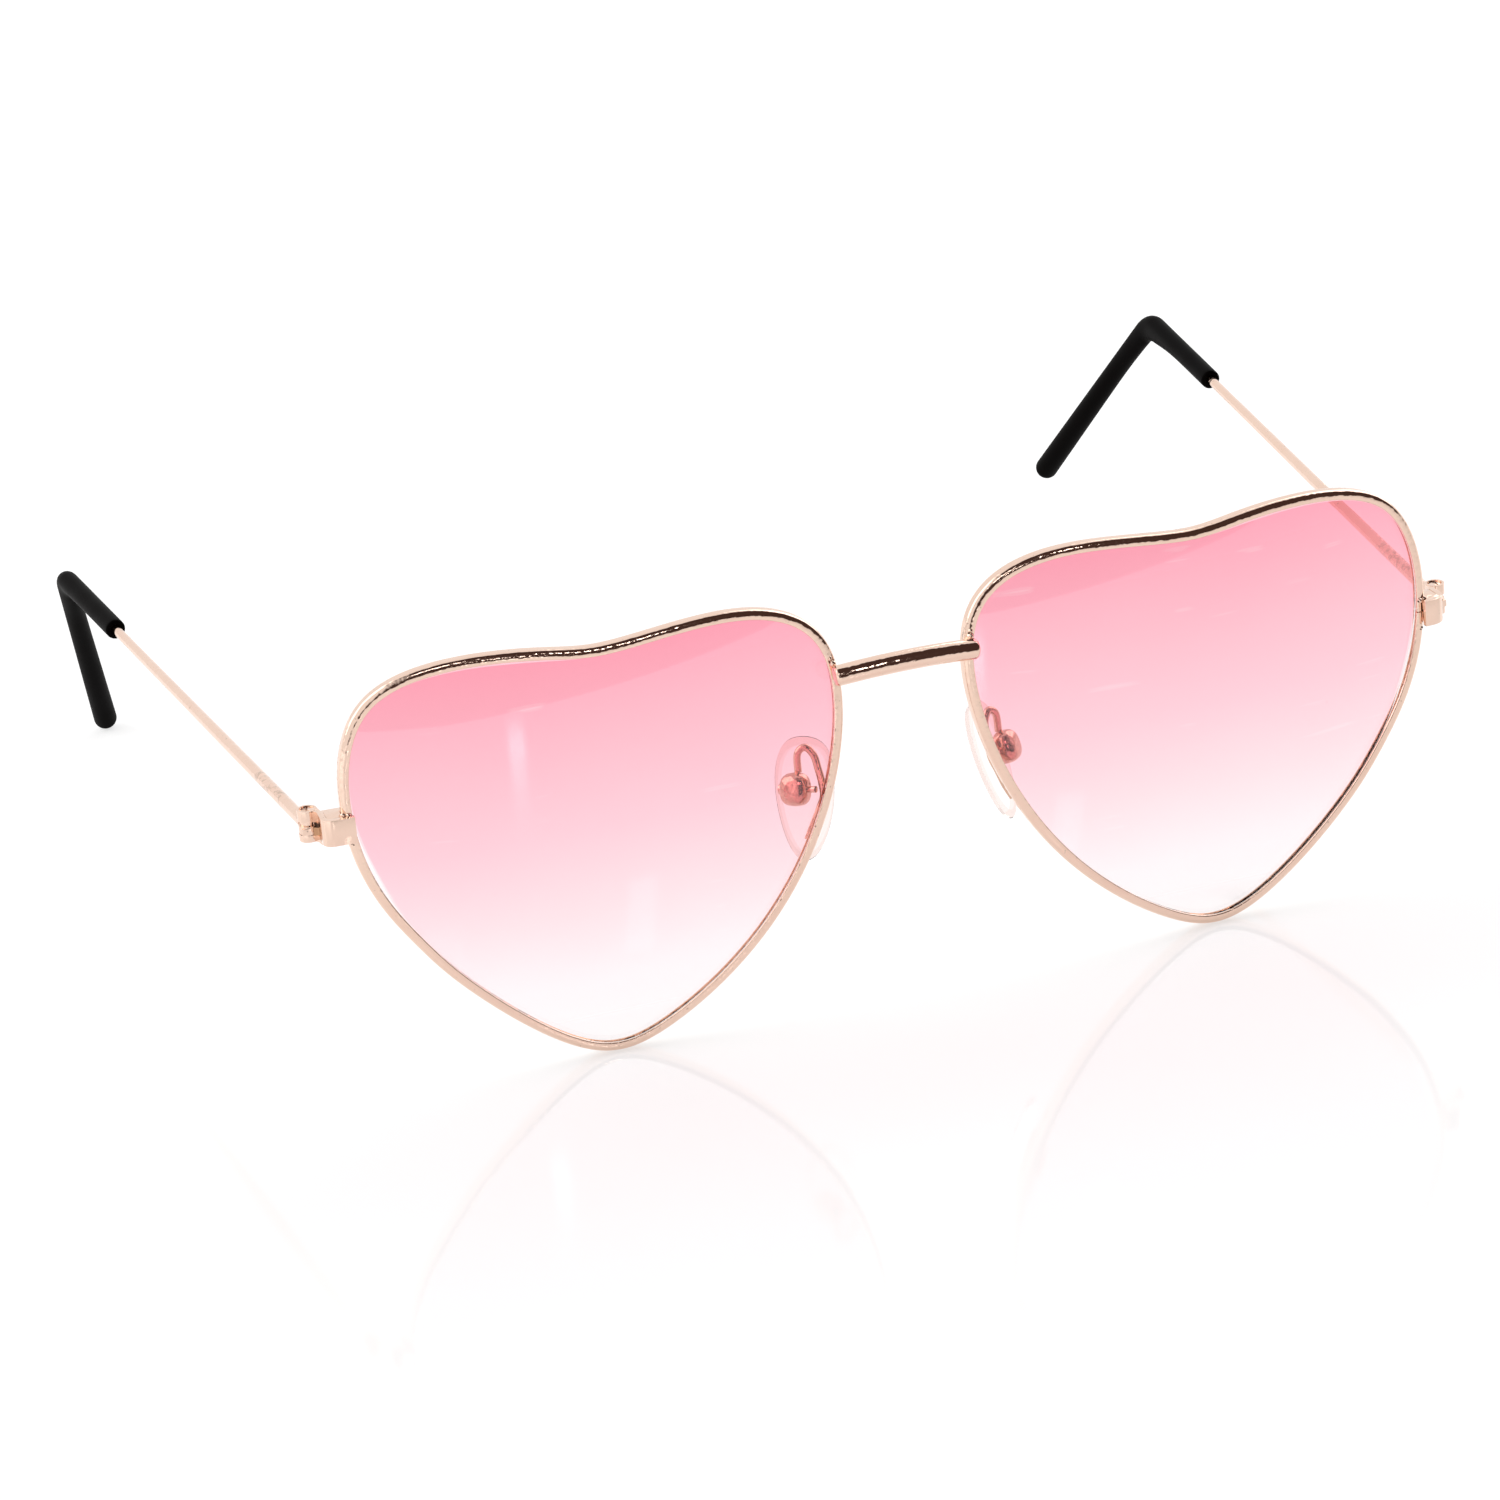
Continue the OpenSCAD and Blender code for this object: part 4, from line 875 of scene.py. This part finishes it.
# The nose pads are clear soft plastic, a drop shape with rounded edges and a lug moulded on the back.
# The lug stands in the pad box, and the pad rocks on the screw through both.
PAD = np.array([(0, 1.13), (0.8, 1.05), (1.13, 0.5), (1, -0.2), (0.62, -0.85), (0.1, -1.14), (-0.5, -1.02),
                (-0.98, -0.4), (-1.13, 0.3), (-0.85, 1.02)])
PAD_LEVELS = (
    (-0.5, 0.03), (-0.5, 0.85), (-0.497, 0.87), (-0.47, 0.93), (-0.4, 0.98), (-0.25, 1), (-0.1, 0.995), (0.1, 0.97),
    (0.2, 0.93), (0.28, 0.88), (0.3, 0.86), (0.38, 0.78), (0.43, 0.66), (0.46, 0.52), (0.475, 0.36), (0.48, 0.18),
    (0.48, 0.02))
PAD_STEPS, EDGE_FROM, LUG_R, LUG_FOOT = 96, 0.865, 0.95, 0.62
pad_material, tree, place = new_material("clear_pad_plastic")
cloud = noise(tree, place, 0.4, 2.0)
tone = blend(tree, cloud, (0.97, 0.955, 0.94, 1), (1.0, 0.985, 0.975, 1))
# The rings of the pad's rounded edge are tinted pinkish tan: a painted reflection of the rims and lens in the clear
# edge.
edge = add_node(tree, "ShaderNodeAttribute", {"attribute_name": "edge"}, {})["Fac"]
tone = blend(tree, edge, tone, (0.9, 0.78, 0.74, 1))
pad_plastic = add_node(tree, "ShaderNodeBsdfPrincipled", {}, {
    "Base Color": tone, "Roughness": 0.02 + cloud * 0.05, "IOR": 1.08, "Transmission Weight": 1.0})
finish_material(tree, let_light_through(tree, pad_plastic["BSDF"], tone))
for side, hand in SIDES:
    turns = np.linspace(0, len(PAD), PAD_STEPS, endpoint=False)
    outline = loop_point(PAD, turns) * (PAD_W / 2, PAD_L / 2)
    rings = [on_pad(side, np.column_stack([outline * grow, np.full(PAD_STEPS, -level * PAD_T)]))
             for level, grow in PAD_LEVELS]
    pad = skin(hand + "_clear_pad", rings)
    per_point(pad, "edge", np.repeat([float(grow > EDGE_FROM) for _, grow in PAD_LEVELS], PAD_STEPS))
    lug = bmesh.new()
    lug.from_mesh(pad)
    cheek = [(RISE + LUG_R * math.cos(a), OFF + LUG_R * math.sin(a)) for a in np.radians(np.linspace(0, 180, 17))]
    cheek += [(RISE - LUG_R, LUG_FOOT), (RISE + LUG_R, LUG_FOOT)]
    post = skin("lug", [on_pad(side, [(x, y, z) for y, z in cheek]) for x in (-0.6, 0.6)])
    lug.from_mesh(post)
    lug.to_mesh(pad)
    lug.free()
    make_piece(hand + "_clear_pad", pad, pad_material, hand + "_pad", [hand + "_nose_pad"])


# The screws are plated steel: cross slotted in the temple hinges, single slotted in the locks and pad boxes.
# Each is turned from rod and held by its thread.


def screw_tree():
    """Geometry nodes that turn a screw: shaft, low domed head and one or two slots across it."""
    tree, take, keys = new_group("slotted_screw", {
        "Start": "Geometry", "Head Radius": "Float", "Head Height": "Float", "Shaft Radius": "Float",
        "Length": "Float", "Slot Width": "Float", "Slot Depth": "Float", "Cross": "Bool", "Finish": "Material"})

    def moved(geometry, z, turn=0.0):
        lift = add_node(tree, "ShaderNodeCombineXYZ", {}, {"Z": z})[0]
        return add_node(tree, "GeometryNodeTransform", {}, {
            0: geometry, "Translation": lift, "Rotation": (0, 0, turn)})[0]

    def cylinder(sides, radius, length):
        return add_node(tree, "GeometryNodeMeshCylinder", {}, {
            "Vertices": sides, "Radius": radius, "Depth": length})["Mesh"]

    def boolean(operation, sockets, *others):
        result = add_node(tree, "GeometryNodeMeshBoolean", {"operation": operation, "solver": "EXACT"}, sockets)[0]
        for other in others:
            tree.links.new(other.socket, result.socket.node.inputs[1])
        return result

    head_r, head_h, length = take["Head Radius"], take["Head Height"], take["Length"]
    dome_r = head_r * 2.2
    dome = add_node(tree, "GeometryNodeMeshUVSphere", {}, {"Segments": 64, "Rings": 64, "Radius": dome_r})["Mesh"]
    head = boolean("INTERSECT", {}, moved(cylinder(48, head_r, head_h), head_h * -0.5), moved(dome, dome_r * -1.0))
    shaft = moved(cylinder(40, take["Shaft Radius"], length), length * -0.5 - head_h * 0.6)
    size = add_node(tree, "ShaderNodeCombineXYZ", {}, {
        "X": head_r * 1.45, "Y": take["Slot Width"], "Z": take["Slot Depth"] * 2.0})[0]
    slot = add_node(tree, "GeometryNodeMeshCube", {}, {"Size": size})["Mesh"]
    second = add_node(tree, "GeometryNodeSwitch", {"input_type": "GEOMETRY"}, {
        "Switch": take["Cross"], "False": slot, "True": moved(slot, 0.0, math.pi / 2)})[0]
    finish_group(tree, boolean("DIFFERENCE", {0: boolean("UNION", {}, head, shaft)}, slot, second), take["Finish"])
    return tree, keys


screws = screw_tree()
screw_plate = plating("screw_plate", dark=0.1)
SCREW_SIZES = ("Head Radius", "Head Height", "Shaft Radius", "Length", "Slot Width", "Slot Depth")
HINGE_SCREW = (0.85, 0.5, 0.55, 3.3, 0.2, 0.25)
PAD_SCREW = (0.7, 0.45, 0.4, 4.75, 0.2, 0.18)
LOCK_SCREW = (0.65, 0.45, 0.45, 2.4, 0.28, 0.25)
PAD_SCREW_OUT = BOX_W / 2 + 0.03 + PAD_SCREW[1]


def put_screw(name, node, at, axis, across, sizes, cross=False):
    """A screw whose head's top is at a place in millimetres, with its axis outward and its slot across."""
    mesh = bpy.data.meshes.new(name + "_start")
    mesh.from_pydata([(0, 0, 0)], [], [])
    values = {label: size * MM for label, size in zip(SCREW_SIZES, sizes)}
    result = grown(name, mesh, screws, {**values, "Cross": cross, "Finish": screw_plate})
    z = Vector(axis).normalized()
    x = (Vector(across) - z * z.dot(Vector(across))).normalized()
    turn = Matrix((x, z.cross(x), z)).transposed().to_4x4()
    result.transform(Matrix.Translation(Vector(at) * MM) @ turn)
    make_piece(name, result, screw_plate, "front", [node])


for side, hand in SIDES:
    put_screw(hand + "_hinge_pin", hand + "_hinge_screw", (side * HINGE[0], HINGE[1], HINGE_Z[3]), (0, 0, 1),
              (1, 0.35 * side, 0), HINGE_SCREW, cross=True)
    head_at, middle, above = on_pad(side, [(PAD_SCREW_OUT, RISE, OFF), (0, RISE, OFF), (0, RISE + 1, OFF)])
    put_screw(hand + "_pad_pin", hand + "_pad_screw", head_at, head_at - middle, above - middle, PAD_SCREW)
    low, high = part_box(hand + "_lock_screw")
    at = ((low.x + high.x) / 2 / MM, (low.y + high.y) / 2 / MM, low.z / MM)
    put_screw(hand + "_lock_pin", hand + "_lock_screw", at, (0, 0, -1), (1, 0, 0), LOCK_SCREW)

bpy.context.scene.view_settings.view_transform = "Standard"
